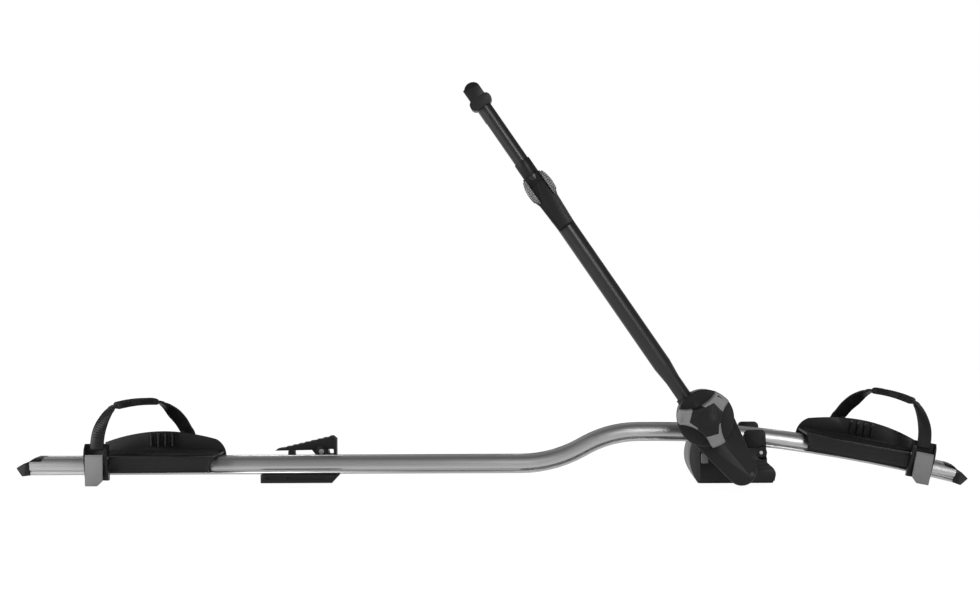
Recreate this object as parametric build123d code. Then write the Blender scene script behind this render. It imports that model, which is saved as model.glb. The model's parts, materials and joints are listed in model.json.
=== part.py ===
from build123d import *
import os
from math import asin, atan2, cos, pi, radians, sin, sqrt, tan

# Roof mounted bike carrier: an aluminium rail on two feet, two wheel trays with ratchet
# straps, and a folding arm with a telescoping jaw that a knob, pinion and rack draw shut.
# Millimetres. +X points to the front of the car, +Y to the far side and +Z up.
# The origin is the middle of the front foot's flat underside, where it sits on a load bar.

# Fits and walls
running_gap = 0.05
sliding_gap = 0.5
seat_gap = 0.15
body_gap = 0.4

# Rail
rail_width = 54.0
rail_height = 25.6
rail_side_wall = 3.0
rail_side_bulge = 0.9
rail_shoulder = 5.0
rail_shoulder_drop = 2.2
rail_wall = 2.2
rail_groove_height = 2.4
rail_groove_depth = 1.6
rail_groove_rise = 6.0
rail_top_groove = 10.0
rail_slot_width = 8.2
rail_chamber_width = 17.2
rail_chamber_height = 7.0
rail_low_z = 25.0
rail_tail_x = -1050.0
rail_ramp_x = -308.6
rail_rise_radius = 190.0
rail_rise_angle = 28.5
rail_ramp_length = 9.4
rail_crest_radius = 165.0
rail_level_length = 28.0
rail_droop_radius = 1340.0
rail_droop_angle = 8.0
rail_fall_radius = 2380.0
rail_fall_angle = 5.5
rail_nose_length = 40.2

# End caps
cap_reach = 23.0
cap_strip_length = 18.6
cap_strip_thick = 5.0
cap_plug_length = 24.0

# Front foot
foot_near_y = -57.0
foot_far_y = 75.0
foot_left_x = -61.0
foot_right_x = 71.5
foot_corner_run = 17.0
foot_corner_depth = 24.0
foot_pad_thick = 3.0
foot_plate_thick = 3.0
foot_wall = 3.5
foot_top_left_z = 60.0
foot_top_right_z = 50.0
foot_shelf_run = 13.0
foot_nose_radius = 9.0
foot_step_count = 2
foot_step_low = 24.0
foot_step_pitch = 6.0
foot_step_depth = 1.4
cheek_thick = 8.5
near_cheek_x = 44.0
near_cheek_top = 76.8
far_cheek_x = 41.5
far_cheek_top = 82.7
cheek_width = 30.0
cross_bolt_x = 52.0
cross_bolt_z = 43.6
cross_bolt_radius = 4.0
bar_bolt_x = 18.0
bar_bolt_spacing = 90.0
bar_bolt_hole_radius = 4.25
bar_bolt_well_radius = 8.0
bar_bolt_floor = 14.0

# Fold pivot and latch button
pivot_z = 46.6
pivot_radius = 5.0
pivot_boss_radius = 20.0
pivot_boss_y = -62.1
button_x = -35.5
button_z = 37.5
button_width = 13.0
button_height = 15.0
button_stand = 4.6
button_travel = 4.0

# Arm, along its own u axis from the pivot, with v across it
arm_angle = 55.6
arm_back_y = -62.5
arm_split_y = -98.0
arm_cover_y = -105.0
arm_wall = 3.0
knob_u = 67.5
housing_radius = 39.0
nose_u = -27.0
nose_radius = 22.0
tube_v = -7.0
tube_y = -80.0
outer_tube_radius = 13.6
outer_tube_wall = 2.0
tube_socket_wall = 2.4
swage_radius = 11.0
swage_low_u = 137.4
swage_high_u = 164.0
tube_entry_u = 84.0
inner_tube_radius = 11.0
inner_tube_wall = 1.6
jaw_top_u = 503.0
jaw_length = 91.4
jaw_wing_length = 44.0
inner_tube_overlap = 101.0
jaw_block_width = 29.0
jaw_wing_width = 38.0
jaw_arm_width = 28.0
jaw_wall_y = 18.0
jaw_plate_stand = 1.2
jaw_grip_thick = 1.6
jaw_reach_y = 12.0
sleeve_length = 26.5
sleeve_radius = 12.5
hook_top_u = 667.0
hook_length = 41.0
hook_head_length = 24.5
hook_collar_width = 34.6
hook_head_width = 24.3
hook_reach_y = 27.0
jaw_pad_thick = 5.0
jaw_travel = 92.0
jaw_block_u = jaw_top_u - jaw_length
jaw_wing_u = jaw_top_u - jaw_wing_length
inner_tube_low_u = jaw_top_u - inner_tube_overlap
sleeve_end_u = jaw_top_u + sleeve_length
hook_low_u = hook_top_u - hook_length
hook_neck_u = hook_top_u - hook_head_length

# Rack and pinion
gear_module = 1.25
pinion_teeth = 14
pressure_angle = 20.0
rack_width = 8.0
rack_back = 5.85
rack_addendum = 0.95
rack_backlash = 0.2
rack_low_reach = 10.5
rack_spare_teeth = 6
shaft_radius = 5.0
shaft_tail_radius = 4.0

# Knob
knob_radius = 41.5
knob_flange_thick = 6.0
knob_lobe_lead = 5.0
knob_tip_half_angle = 15.0
knob_scoop_reach = 20.0
knob_low_y = -108.2
knob_high_y = -137.0
brake_radius = 17.0

# Rear foot and cam lever
rear_foot_left_x = -700.0
rear_foot_length = 119.0
rear_foot_right_x = rear_foot_left_x + rear_foot_length
rear_foot_slant = 11.0
rear_foot_near_y = -35.0
rear_foot_far_y = 55.0
rear_pad_thick = 4.0
rear_foot_gap = 0.15
lever_pivot_x = rear_foot_left_x + 84.0
lever_pivot_z = 40.0
lever_pin_radius = 4.0
lever_near_y = 31.0
lever_far_y = 48.0
lever_reach = 72.0
lever_heel_reach = 22.4
lever_tip_x = lever_pivot_x - lever_reach
lever_heel_x = lever_pivot_x + lever_heel_reach
lever_top_z = 63.8
lever_tip_z = 43.7
lever_grip_count = 8
lever_grip_depth = 1.3
ear_thick = 2.6
t_bolt_radius = 4.0
t_head_radius = 10.5
t_head_top = 6.6
t_bolt_travel = 2.0

# Wheel trays, in a frame on the rail's centreline with the buckle towards -x
rear_tray_x = -864.0
front_tray_x = 212.0
tray_half_length = 97.0
tray_floor_thick = 3.2
tray_near_y = -46.0
tray_panel_thick = 3.0
tray_panel_x = -62.0
tray_panel_low = -6.0
tray_panel_slant = 9.0
tray_wall_y = 36.5
tray_wall_thick = 3.5
tray_wall_low = 2.4
tray_skirt_thick = 3.0
tray_skirt_low = -9.0
tray_lip_length = 40.0
tray_rib_pitch = 11.0
tray_rib_count = 4
tray_rib_width = 5.2
tray_rib_depth = 4.6
tray_rib_middle = 1.5
liner_thick = 2.0
liner_half_width = 21.0

# Ratchet buckle and strap
buckle_left_x = -94.7
buckle_right_x = -59.3
buckle_low = -17.7
buckle_high = 37.0
buckle_depth = 11.0
buckle_plate_thick = 2.8
buckle_thin_cheek = 2.7
buckle_thick_cheek = 6.0
lever_low = -24.7
lever_high = 21.7
lever_thick = 5.0
lever_hinge_y = -55.0
lever_hinge_z = 17.0
buckle_pin_radius = 2.2
strap_width = 20.0
strap_mouth_x = -75.4
strap_thick = 3.4
strap_anchor_x = 42.0
strap_anchor_y = 44.6
strap_anchor_z = 12.0
anchor_pin_radius = 2.2
strap_pad_span = (6, 7)
strap_pad_width = 27.0
strap_pad_thick = 9.0


# Small building helpers
def side_prism(outline, y_low, y_high):
    """An outline in x and z, carried from y_low to y_high."""
    return Pos(0, y_high, 0) * extrude(Plane.XZ * outline, y_high - y_low, dir=(0, -1, 0))


def flat_prism(outline, z_low, z_high):
    """An outline in x and y, carried from z_low to z_high."""
    return Pos(0, 0, z_low) * extrude(outline, z_high - z_low, dir=(0, 0, 1))


def end_prism(outline, x_low, x_high):
    """An outline in y and z, carried from x_low to x_high."""
    return Pos(x_low, 0, 0) * extrude(Plane.YZ * outline, x_high - x_low, dir=(1, 0, 0))


def block(x_low, x_high, y_low, y_high, z_low, z_high):
    """A plain block between two corners."""
    solid = Box(x_high - x_low, y_high - y_low, z_high - z_low)
    return Pos((x_low + x_high) / 2, (y_low + y_high) / 2, (z_low + z_high) / 2) * solid


def rod_x(y, z, radius, x_low, x_high):
    return end_prism(Pos(y, z) * Circle(radius), x_low, x_high)


def rod_y(x, z, radius, y_low, y_high):
    return side_prism(Pos(x, z) * Circle(radius), y_low, y_high)


def rod_z(x, y, radius, z_low, z_high):
    return flat_prism(Pos(x, y) * Circle(radius), z_low, z_high)


def outline_of(*points):
    """A flat face with straight sides."""
    return Polygon(*points, align=None)


def hex_outline(flats):
    return RegularPolygon(flats / 2, 6, major_radius=False)


def tangent_hull(big_radius, small_radius, spacing):
    """Two circles and their common tangents: the big one at the origin, the small one at -x."""
    tilt = asin((big_radius - small_radius) / spacing)
    up = (-sin(tilt), cos(tilt))
    big_top = (big_radius * up[0], big_radius * up[1])
    small_top = (-spacing + small_radius * up[0], small_radius * up[1])
    big_low = (big_top[0], -big_top[1])
    small_low = (small_top[0], -small_top[1])
    edges = [
        Line(small_top, big_top),
        ThreePointArc(big_top, (big_radius, 0), big_low),
        Line(big_low, small_low),
        ThreePointArc(small_low, (-spacing - small_radius, 0), small_top),
    ]
    return make_face(edges)


# Rail: its line in x and z, its section, and frames to seat things on it
def rail_runs():
    """Each run of the centreline as start x, start z, heading, signed radius and length."""
    steps = [
        (0.0, rail_ramp_x - rail_tail_x),
        (rail_rise_radius, radians(rail_rise_angle) * rail_rise_radius),
        (0.0, rail_ramp_length),
        (-rail_crest_radius, radians(rail_rise_angle) * rail_crest_radius),
        (0.0, rail_level_length),
        (-rail_droop_radius, radians(rail_droop_angle) * rail_droop_radius),
        (-rail_fall_radius, radians(rail_fall_angle) * rail_fall_radius),
        (0.0, rail_nose_length),
    ]
    x, z, heading = rail_tail_x, rail_low_z, 0.0
    runs = []
    for radius, length in steps:
        runs.append((x, z, heading, radius, length))
        if radius:
            turned = heading + length / radius
            x += radius * (sin(turned) - sin(heading))
            z += radius * (cos(heading) - cos(turned))
            heading = turned
        else:
            x += length * cos(heading)
            z += length * sin(heading)
    runs.append((x, z, heading, 0.0, 0.0))
    return runs


def rail_at(x):
    """Height and heading of the rail's centreline at x."""
    runs = rail_runs()
    chosen = [run for run in runs[:-1] if run[0] <= x] or runs[:1]
    start_x, start_z, heading, radius, _ = chosen[-1]
    if not radius:
        return start_z + (x - start_x) * tan(heading), heading
    here = asin(sin(heading) + (x - start_x) / radius)
    return start_z + radius * (cos(heading) - cos(here)), here


def rail_frame(x):
    """A plane on the centreline with x along the rail, y across and z square to it."""
    height, heading = rail_at(x)
    return Plane(origin=(x, 0, height), x_dir=(cos(heading), 0, sin(heading)),
                 z_dir=(-sin(heading), 0, cos(heading)))


def rail_path():
    edges = []
    runs = rail_runs()
    for run, after in zip(runs, runs[1:]):
        x, z, heading, radius, length = run
        if radius:
            middle = heading + length / radius / 2
            mid_point = (x + radius * (sin(middle) - sin(heading)),
                         z + radius * (cos(heading) - cos(middle)))
            edges.append(ThreePointArc((x, z), mid_point, (after[0], after[1])))
        else:
            edges.append(Line((x, z), (after[0], after[1])))
    return Plane.XZ * Wire(edges)


def rail_outline(grow=0.0):
    """The rail's outer section without its grooves, grown evenly: bulged sides under a crowned top."""
    half = rail_width / 2 + grow
    low = -rail_height / 2 - grow
    high = rail_height / 2 + grow
    lip_top = rail_groove_rise - rail_height / 2
    edges = []
    for side in (-1, 1):
        lip = (side * (half - rail_side_bulge), lip_top)
        middle = (side * half, lip_top + rail_height / 4)
        shoulder = (side * (half - rail_shoulder), high - rail_shoulder_drop)
        edges.append(Line((side * (half - rail_side_bulge), low), lip))
        edges.append(ThreePointArc(lip, middle, shoulder))
        edges.append(Line(shoulder, (side * half / 3, high)))
    edges.append(Line((-half / 3, high), (half / 3, high)))
    edges.append(Line((rail_side_bulge - half, low), (half - rail_side_bulge, low)))
    face = make_face(edges)
    low_corners = face.vertices().group_by(Axis.Y)[0]
    face = fillet(low_corners, 2.5)
    shoulders = face.vertices().filter_by(lambda v: abs(v.Y - (high - rail_shoulder_drop)) < 0.01)
    return fillet(shoulders, 3.0)


def rail_section():
    half = rail_width / 2
    low = -rail_height / 2
    face = rail_outline()
    inside_low = low + rail_wall
    inside_high = rail_height / 2 - rail_wall - 0.4
    inside = RectangleRounded(rail_width - 2 * rail_side_wall, inside_high - inside_low, 6.0)
    face -= Pos(0, (inside_high + inside_low) / 2) * inside
    chamber_top = inside_low + rail_chamber_height
    chamber_wall = rail_chamber_width / 2 + 2.0
    face += outline_of((-chamber_wall, low + 0.5), (chamber_wall, low + 0.5),
                       (chamber_wall, chamber_top + 2.0), (-chamber_wall, chamber_top + 2.0))
    chamber_half = rail_chamber_width / 2
    face -= outline_of((-chamber_half, inside_low), (chamber_half, inside_low),
                       (chamber_half, chamber_top), (-chamber_half, chamber_top))
    slot_half = rail_slot_width / 2
    face -= outline_of((-slot_half, low - 1), (slot_half, low - 1),
                       (slot_half, inside_low + 0.5), (-slot_half, inside_low + 0.5))
    groove_z = low + rail_groove_rise
    for side in (-1, 1):
        face -= Pos(side * half, groove_z) * Rectangle(2 * (rail_groove_depth + rail_side_bulge),
                                                       rail_groove_height)
    face -= Pos(0, rail_height / 2) * Rectangle(rail_top_groove, 2.0)
    return face


def along_rail(section):
    start = rail_runs()[0]
    placed = Pos(start[0], 0, start[1]) * (Plane.YZ * section)
    return sweep(placed, path=rail_path())


def end_notch():
    """What the cap's strip takes off an end of the rail, drawn with x pointing out of the rail."""
    top = rail_height / 2
    seat = top - cap_strip_thick
    return side_prism(outline_of((-cap_strip_length, top + 1), (-cap_strip_length, seat + 2),
                                 (-cap_strip_length + 2, seat), (0.0, seat), (-2.5, -top - 1),
                                 (9, -top - 1), (9, top + 1)), -40, 40)


def end_planes():
    """A plane at each end of the rail, with x pointing out of it and z square to it."""
    tail, nose = rail_runs()[0], rail_runs()[-1]
    heading = nose[2]
    return {
        "rear": Plane(origin=(tail[0], 0, tail[1]), x_dir=(-1, 0, 0), z_dir=(0, 0, 1)),
        "front": Plane(origin=(nose[0], 0, nose[1]), x_dir=(cos(heading), 0, sin(heading)),
                       z_dir=(-sin(heading), 0, cos(heading))),
    }


def rail():
    bar = along_rail(rail_section())
    for plane in end_planes().values():
        bar -= plane * end_notch()
    return bar


rail_space = along_rail(rail_outline(body_gap))
rail_under_z = rail_low_z - rail_height / 2
parts = {}
parts["rail"] = rail()


# End caps: a beak beyond the rail, a strip let into its top and a plug inside it
def end_cap():
    top = rail_height / 2
    seat = top - cap_strip_thick
    gap = seat_gap
    outline = outline_of((-cap_strip_length + gap, top - 0.5), (-cap_strip_length + gap, seat + 2 + gap),
                         (-cap_strip_length + 2 + gap, seat + gap), (gap, seat + gap), (gap - 2.4, -top), (cap_reach / 2, -top - 1.6), (cap_reach, -3.0),
                         (8.5, seat - 3.0), (0.5, seat), (-6.0, top - 0.3), (-12.0, top))
    beak = side_prism(outline, -rail_width / 2 - 1, rail_width / 2 + 1)
    plan = outline_of((-cap_strip_length, -rail_width / 2), (6, -rail_width / 2), (cap_reach, -rail_width / 4),
                      (cap_reach, rail_width / 4), (6, rail_width / 2), (-cap_strip_length, rail_width / 2))
    plan = fillet(plan.vertices().group_by(Axis.X)[-1], 6.0)
    beak &= flat_prism(plan, -40, 40)
    beak &= end_prism(rail_outline(0.4) + outline_of((-25, -20), (25, -20), (25, 0), (-25, 0)), -40, 40)
    plug_half = rail_width / 2 - rail_side_wall - 4.0
    plug_low = -top + rail_wall + rail_chamber_height + 3.0
    plug_high = seat - 1.2
    return beak + block(-cap_plug_length, 4.0, -plug_half, plug_half, plug_low, plug_high)


for end, plane in end_planes().items():
    parts[f"{end}_end_cap"] = plane * end_cap()


# Front foot: a moulded housing on a steel plate and a rubber pad, with a cheek each side
foot_floor_z = foot_pad_thick + foot_plate_thick
bar_bolt_ys = (-bar_bolt_spacing / 2, bar_bolt_spacing / 2)


def foot_outline(inset=0.0):
    """The foot from the side: barrelled behind, and a shoulder and a rounded nose in front."""
    left_low = (foot_left_x + 11.0 + inset, foot_pad_thick)
    left_mid = (foot_left_x + inset, 31.0)
    left_high = (foot_left_x + 5.0 + inset, foot_top_left_z - inset)
    right = foot_right_x - inset
    shelf = right - foot_shelf_run
    nose_low = (right - 2.0, foot_pad_thick)
    edges = [
        ThreePointArc(left_low, left_mid, left_high),
        Line(left_high, (shelf, foot_top_right_z - inset)),
        Line((shelf, foot_top_right_z - inset), (shelf, 31.0 - inset)),
        Line((shelf, 31.0 - inset), (right - foot_nose_radius, 26.0 - inset)),
        ThreePointArc((right - foot_nose_radius, 26.0 - inset), (right - 2.0, 20.0), (right, 12.0)),
        Line((right, 12.0), nose_low),
        Line(nose_low, left_low),
    ]
    return make_face(edges)


def foot_plan(inset=0.0):
    """The foot from above, with its near left corner cut back."""
    near, far = foot_near_y + inset, foot_far_y - inset
    left, right = foot_left_x - 5 + inset, foot_right_x + 5 - inset
    return outline_of((foot_left_x + foot_corner_run + inset, near), (right, near), (right, far), (left, far),
                      (left, near + foot_corner_depth + 5))


def cheek(centre_x, top_z, y_low, y_high):
    half = cheek_width / 2
    face = outline_of((centre_x - half - 6, 30), (centre_x + half + 2, 30), (centre_x + half, top_z),
                      (centre_x - half, top_z))
    face = fillet(face.vertices().group_by(Axis.Y)[-1], 6.0)
    return side_prism(face, y_low, y_high)


def foot_step(step):
    """One of the shallow steps moulded round the nose's near corner."""
    low = foot_step_low - step * foot_step_pitch
    return block(foot_right_x - 27.0, foot_right_x + 1, foot_near_y - 1, foot_near_y + foot_step_depth, low,
                 low + foot_step_pitch / 2)


def base_housing():
    shell = side_prism(foot_outline(), foot_near_y, foot_far_y) & flat_prism(foot_plan(), 0, 90)
    far_slope = outline_of((rail_width / 2 + 12, 90), (rail_width / 2 + 12, 56), (foot_far_y + 1, 20),
                           (foot_far_y + 1, 90))
    shell -= end_prism(far_slope, foot_left_x - 5, foot_right_x + 5)
    cavity = side_prism(foot_outline(foot_wall), foot_near_y + foot_wall, foot_far_y - foot_wall)
    cavity &= flat_prism(foot_plan(foot_wall), 0, 90)
    roof = outline_of((-200, foot_floor_z + 3), (rail_width / 2 + 6, foot_floor_z + 3),
                      (foot_far_y, foot_floor_z + 3), (foot_far_y, 17), (rail_width / 2 + 6, 44),
                      (-200, 44))
    cavity &= end_prism(roof, foot_left_x - 5, foot_right_x + 5)
    for y in bar_bolt_ys:
        cavity -= rod_z(bar_bolt_x, y, bar_bolt_well_radius + 2.5, 0, 90)
    cavity -= rod_y(0, pivot_z, pivot_radius + 7, foot_near_y, -34)
    cavity -= rod_y(cross_bolt_x, cross_bolt_z, cross_bolt_radius + 3.5, foot_near_y, foot_far_y)
    cavity -= block(foot_left_x, foot_right_x, -1.5, 1.5, 0, 90)
    shell -= cavity
    near = -rail_width / 2 - body_gap
    far = rail_width / 2 + body_gap
    for step in range(foot_step_count):
        shell -= foot_step(step)
    shell += cheek(near_cheek_x, near_cheek_top, near - cheek_thick, near)
    shell += cheek(far_cheek_x, far_cheek_top, far, far + cheek_thick)
    boss = rod_y(0, pivot_z, pivot_boss_radius, pivot_boss_y, foot_near_y + 1)
    shell += chamfer(boss.faces().sort_by(Axis.Y)[0].edges(), 1.0)
    shell -= rail_space
    plate_room = block(*plate_box(seat_gap))
    shell -= plate_room
    for y in bar_bolt_ys:
        shell -= rod_z(bar_bolt_x, y, bar_bolt_hole_radius, 0, 90)
        shell -= rod_z(bar_bolt_x, y, bar_bolt_well_radius, bar_bolt_floor, 90)
    shell -= rod_y(0, pivot_z, pivot_radius + running_gap, -70, -30)
    shell -= Pos(0, -30, pivot_z) * Rot(90, 0, 0) * extrude(hex_outline(pivot_nut_flats + 0.4), 12.0)
    shell -= rod_y(cross_bolt_x, cross_bolt_z, cross_bolt_radius + 0.2, -60, 90)
    shell -= rod_y(cross_bolt_x, cross_bolt_z, 9.0, foot_near_y - 1, near - cheek_thick)
    shell -= rod_y(cross_bolt_x, cross_bolt_z, 9.0, far + cheek_thick, 90)
    shell -= button_space(body_gap)
    for x in rail_bolt_xs:
        shell -= rail_frame(x) * rod_z(0, 0, rail_bolt_radius + 0.2, -60, 0)
        shell -= rail_frame(x) * rod_z(0, 0, 6.0, -60, -rail_height / 2 - rail_bolt_sink)
    return shell


pivot_nut_flats = 15.0
rail_bolt_xs = (-28.0, 34.0)
rail_bolt_radius = 2.5
rail_bolt_sink = 6.0
slot_nut_half = 7.6


def plate_box(grow=0.0):
    return (foot_left_x + 17 - grow, foot_right_x - 8 + grow, foot_near_y + 6 - grow, foot_far_y - 6 + grow,
            foot_pad_thick - 0.01, foot_floor_z + grow)


def button_space(grow=0.0):
    half_width = button_width / 2 + grow
    half_height = button_height / 2 + grow
    return block(button_x - half_width, button_x + half_width, foot_near_y - 2,
                 foot_near_y + 12 + button_travel + grow, button_z - half_height, button_z + half_height)


def drilled(solid, radius, low, high):
    for y in bar_bolt_ys:
        solid -= rod_z(bar_bolt_x, y, radius, low, high)
    return solid


def base_plate():
    plate = block(*plate_box())
    plate = fillet(plate.edges().filter_by(Axis.Z), 5.0)
    plate = drilled(plate, bar_bolt_hole_radius, 0, 20)
    for x in rail_bolt_xs:
        plate -= rail_frame(x) * rod_z(0, 0, 6.2, -80, -20)
    return plate


def front_bar_pad():
    pad = block(foot_left_x + 13, foot_right_x - 3, foot_near_y + 0.5, foot_far_y - 0.5, 0, foot_pad_thick - 0.1)
    pad = fillet(pad.edges().filter_by(Axis.Z), 6.0)
    return drilled(pad, bar_bolt_hole_radius, -1, 20)


def hex_bolt_y(x, z, radius, tip_y, seat_y, head, flats):
    """A bolt along y whose head stands on seat_y, on the side away from its tip."""
    way = -1 if tip_y > seat_y else 1
    low, high = sorted((tip_y, seat_y))
    shank = rod_y(x, z, radius, low, high)
    head_low, head_high = sorted((seat_y, seat_y + way * head))
    hexagon = Pos(x, head_high, z) * Rot(90, 0, 0) * extrude(hex_outline(flats), head_high - head_low)
    return shank + hexagon


cross_seat_near = -rail_width / 2 - body_gap - cheek_thick
cross_seat_far = rail_width / 2 + body_gap + cheek_thick
parts["base_housing"] = base_housing()
parts["base_plate"] = base_plate()
parts["front_bar_pad"] = front_bar_pad()
parts["base_cross_bolt"] = hex_bolt_y(cross_bolt_x, cross_bolt_z, cross_bolt_radius, cross_seat_far + 9,
                                      cross_seat_near - 0.1, 5.5, 13.0)
parts["base_cross_nut"] = (Pos(cross_bolt_x, cross_seat_far + 6.9, cross_bolt_z) * Rot(90, 0, 0)
                           * extrude(hex_outline(13.0) - Circle(cross_bolt_radius + 0.1), 6.8))


def rail_bolt(plane, sink):
    """A bolt up into the rail's slot, square to the rail, its head that far below it."""
    seat = -rail_height / 2 - sink
    return plane * (flat_prism(Circle(rail_bolt_radius), seat, -rail_height / 2 + 7.0)
                    + flat_prism(Circle(4.5), seat - 4.0, seat))


def slot_nut(plane):
    low = -rail_height / 2 + rail_wall + 0.2
    nut = block(-9, 9, -slot_nut_half, slot_nut_half, low, low + 4.0)
    nut -= rod_z(0, 0, 2.6, -20, 20)
    return plane * nut


rear_foot_middle = (rear_foot_left_x + rear_foot_right_x) / 2
rear_bolt_xs = (rear_foot_middle - 38.0, rear_foot_middle + 10.0)
slot_nuts = [slot_nut(rail_frame(x)) for x in rail_bolt_xs + rear_bolt_xs]
rail_bolts = [rail_bolt(rail_frame(x), rail_bolt_sink + 0.1) for x in rail_bolt_xs]
rail_bolts += [rail_bolt(rail_frame(x), 3.1) for x in rear_bolt_xs]
parts["rail_bolts"] = Compound(rail_bolts)
parts["rail_slot_nuts"] = Compound(slot_nuts)


# Fold pivot and latch button
def pivot_bolt():
    bolt = hex_bolt_y(0, pivot_z, pivot_radius, -32.0, arm_back_y - 4.6, 6.0, 16.0)
    washer = rod_y(0, pivot_z, 10.0, arm_back_y - 4.6, arm_back_y - 4.1)
    return bolt + washer


parts["pivot_bolt"] = pivot_bolt()
parts["pivot_nut"] = (Pos(0, -30.2, pivot_z) * Rot(90, 0, 0)
                      * extrude(hex_outline(pivot_nut_flats) - Circle(pivot_radius + 0.1), 7.0))
button = block(button_x - button_width / 2, button_x + button_width / 2, foot_near_y - button_stand,
               foot_near_y + 12, button_z - button_height / 2, button_z + button_height / 2)
button = fillet(button.edges().filter_by(Axis.Y), 2.0)
parts["latch_button"] = fillet(button.faces().sort_by(Axis.Y)[0].edges(), 1.2)



# Rear foot: a low block under the rail, a rubber pad, and a bracket for the cam lever
def rear_foot_side(low, high):
    """The foot from the side, with its slanted front end."""
    slope = rear_foot_slant / (rail_under_z - rear_foot_gap)
    left, right = rear_foot_left_x, rear_foot_right_x - rear_foot_slant
    return outline_of((left, low), (right + slope * low, low), (right + slope * high, high), (left, high))


def lever_outline(shrink=0.0):
    """The cam lever from the side: a long tip, a crowned top and a rounded heel."""
    face = outline_of((lever_tip_x + shrink, lever_tip_z - 2.4), (lever_tip_x + 3, lever_tip_z),
                      (lever_heel_x - 6, lever_top_z), (lever_heel_x, lever_top_z - 5),
                      (lever_heel_x, lever_pivot_z - 8), (lever_pivot_x + 8, lever_pivot_z - 11),
                      (lever_pivot_x - 7, lever_pivot_z - 8), (lever_pivot_x - 15, lever_pivot_z + 2.2))
    crown = face.vertices().sort_by(Axis.Y)[-1]
    return fillet(crown, 4.0)


def lever_grips():
    """Shallow notches along the lever's sloping top."""
    run = lever_heel_x - 12 - (lever_tip_x + 8)
    rise = (lever_top_z - lever_tip_z) / (lever_heel_x - 6 - lever_tip_x - 3)
    pitch = run / lever_grip_count
    notches = []
    for step in range(lever_grip_count):
        x = lever_tip_x + 8 + step * pitch
        z = lever_tip_z + (x - lever_tip_x - 3) * rise
        deep = z + pitch * rise - lever_grip_depth
        notch = outline_of((x, z), (x + pitch, deep), (x + pitch, z + pitch * rise + 3), (x, z + 3))
        notches.append(side_prism(notch, lever_near_y - 1, lever_far_y + 1))
    return notches


def rear_foot():
    top = rail_under_z - rear_foot_gap
    body = side_prism(rear_foot_side(rear_pad_thick, top), rear_foot_near_y, rear_foot_far_y)
    body = fillet(body.edges().filter_by(Axis.Z), 4.0)
    for length, centre in ((28.0, 22.0), (60.0, 69.0)):
        pocket = Pos(rear_foot_left_x + centre, (rear_pad_thick + top) / 2) * RectangleRounded(length, 4.4, 1.5)
        body -= side_prism(pocket, rear_foot_near_y - 1, rear_foot_near_y + 2.0)
    ear = outline_of((lever_pivot_x - 13, top - 3), (lever_pivot_x + 9, top - 3),
                     (lever_pivot_x + 8, lever_pivot_z), (lever_pivot_x + 4, lever_pivot_z + 8),
                     (lever_pivot_x - 5, lever_pivot_z + 8), (lever_pivot_x - 9, lever_pivot_z))
    ear = fillet(ear.vertices().group_by(Axis.Y)[-1], 3.0)
    ear_gap = body_gap
    body += side_prism(ear, lever_near_y - ear_gap - ear_thick, lever_near_y - ear_gap)
    body += side_prism(ear, lever_far_y + ear_gap, lever_far_y + ear_gap + ear_thick)
    leg = outline_of((lever_pivot_x - 53, top - 3), (lever_pivot_x - 40, top - 3),
                     (lever_pivot_x - 42, lever_pivot_z + 0.6), (lever_pivot_x - 52, lever_pivot_z + 0.6))
    body += side_prism(leg, lever_near_y + 2, lever_far_y - 2)
    middle_y = (lever_near_y + lever_far_y) / 2
    body -= rod_z(lever_pivot_x, middle_y, t_bolt_radius + body_gap, 0, top + 1)
    body -= rod_z(lever_pivot_x, middle_y, t_head_radius + 0.8, 0, t_head_top + body_gap)
    body -= rod_y(lever_pivot_x, lever_pivot_z, lever_pin_radius + 0.02, 20, 60)
    for x in rear_bolt_xs:
        body -= rod_z(x, 0, 2.7, 0, 20)
        body -= rod_z(x, 0, 5.0, 0, top - 2.8)
    return body


def rear_foot_pad():
    pad = side_prism(rear_foot_side(0, rear_pad_thick - 0.1), rear_foot_near_y + 0.5, rear_foot_far_y - 0.5)
    pad = fillet(pad.edges().filter_by(Axis.Z), 4.0)
    middle_y = (lever_near_y + lever_far_y) / 2
    pad -= rod_z(lever_pivot_x, middle_y, t_head_radius + 2.0, -1, 10)
    for x in rear_bolt_xs:
        pad -= rod_z(x, 0, 5.0, -1, 10)
    return pad


def rear_cam_lever():
    lever = side_prism(lever_outline(), lever_near_y, lever_far_y)
    for notch in lever_grips():
        lever -= notch
    middle_y = (lever_near_y + lever_far_y) / 2
    fork = block(lever_pivot_x - 14, lever_heel_x + 5, middle_y - 5.2, middle_y + 5.2, 0, 90)
    lever -= fork
    window = fillet(outline_of((lever_pivot_x + 11, lever_pivot_z - 4.5), (lever_heel_x - 4, lever_pivot_z - 4.5),
                               (lever_heel_x - 4, lever_pivot_z + 3.5),
                               (lever_pivot_x + 9.5, lever_pivot_z + 3.5)).vertices(), 1.5)
    lever -= side_prism(window, 20, 60)
    lever -= rod_y(lever_pivot_x, lever_pivot_z, lever_pin_radius + running_gap, 20, 60)
    return lever


def rear_t_bolt():
    middle_y = (lever_near_y + lever_far_y) / 2
    stem = rod_z(lever_pivot_x, middle_y, t_bolt_radius, 3, lever_pivot_z - 8)
    eye = rod_y(lever_pivot_x, lever_pivot_z, 9.4, middle_y - 3.5, middle_y + 3.5)
    bolt = stem + eye - rod_y(lever_pivot_x, lever_pivot_z, lever_pin_radius + t_bolt_travel + 0.5, 20, 60)
    head = block(lever_pivot_x - 7.5, lever_pivot_x + 7.5, middle_y - t_head_radius, middle_y + t_head_radius,
                 t_head_top - 4.0, t_head_top)
    return bolt + (head & rod_z(lever_pivot_x, middle_y, t_head_radius, 0, 10))


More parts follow.
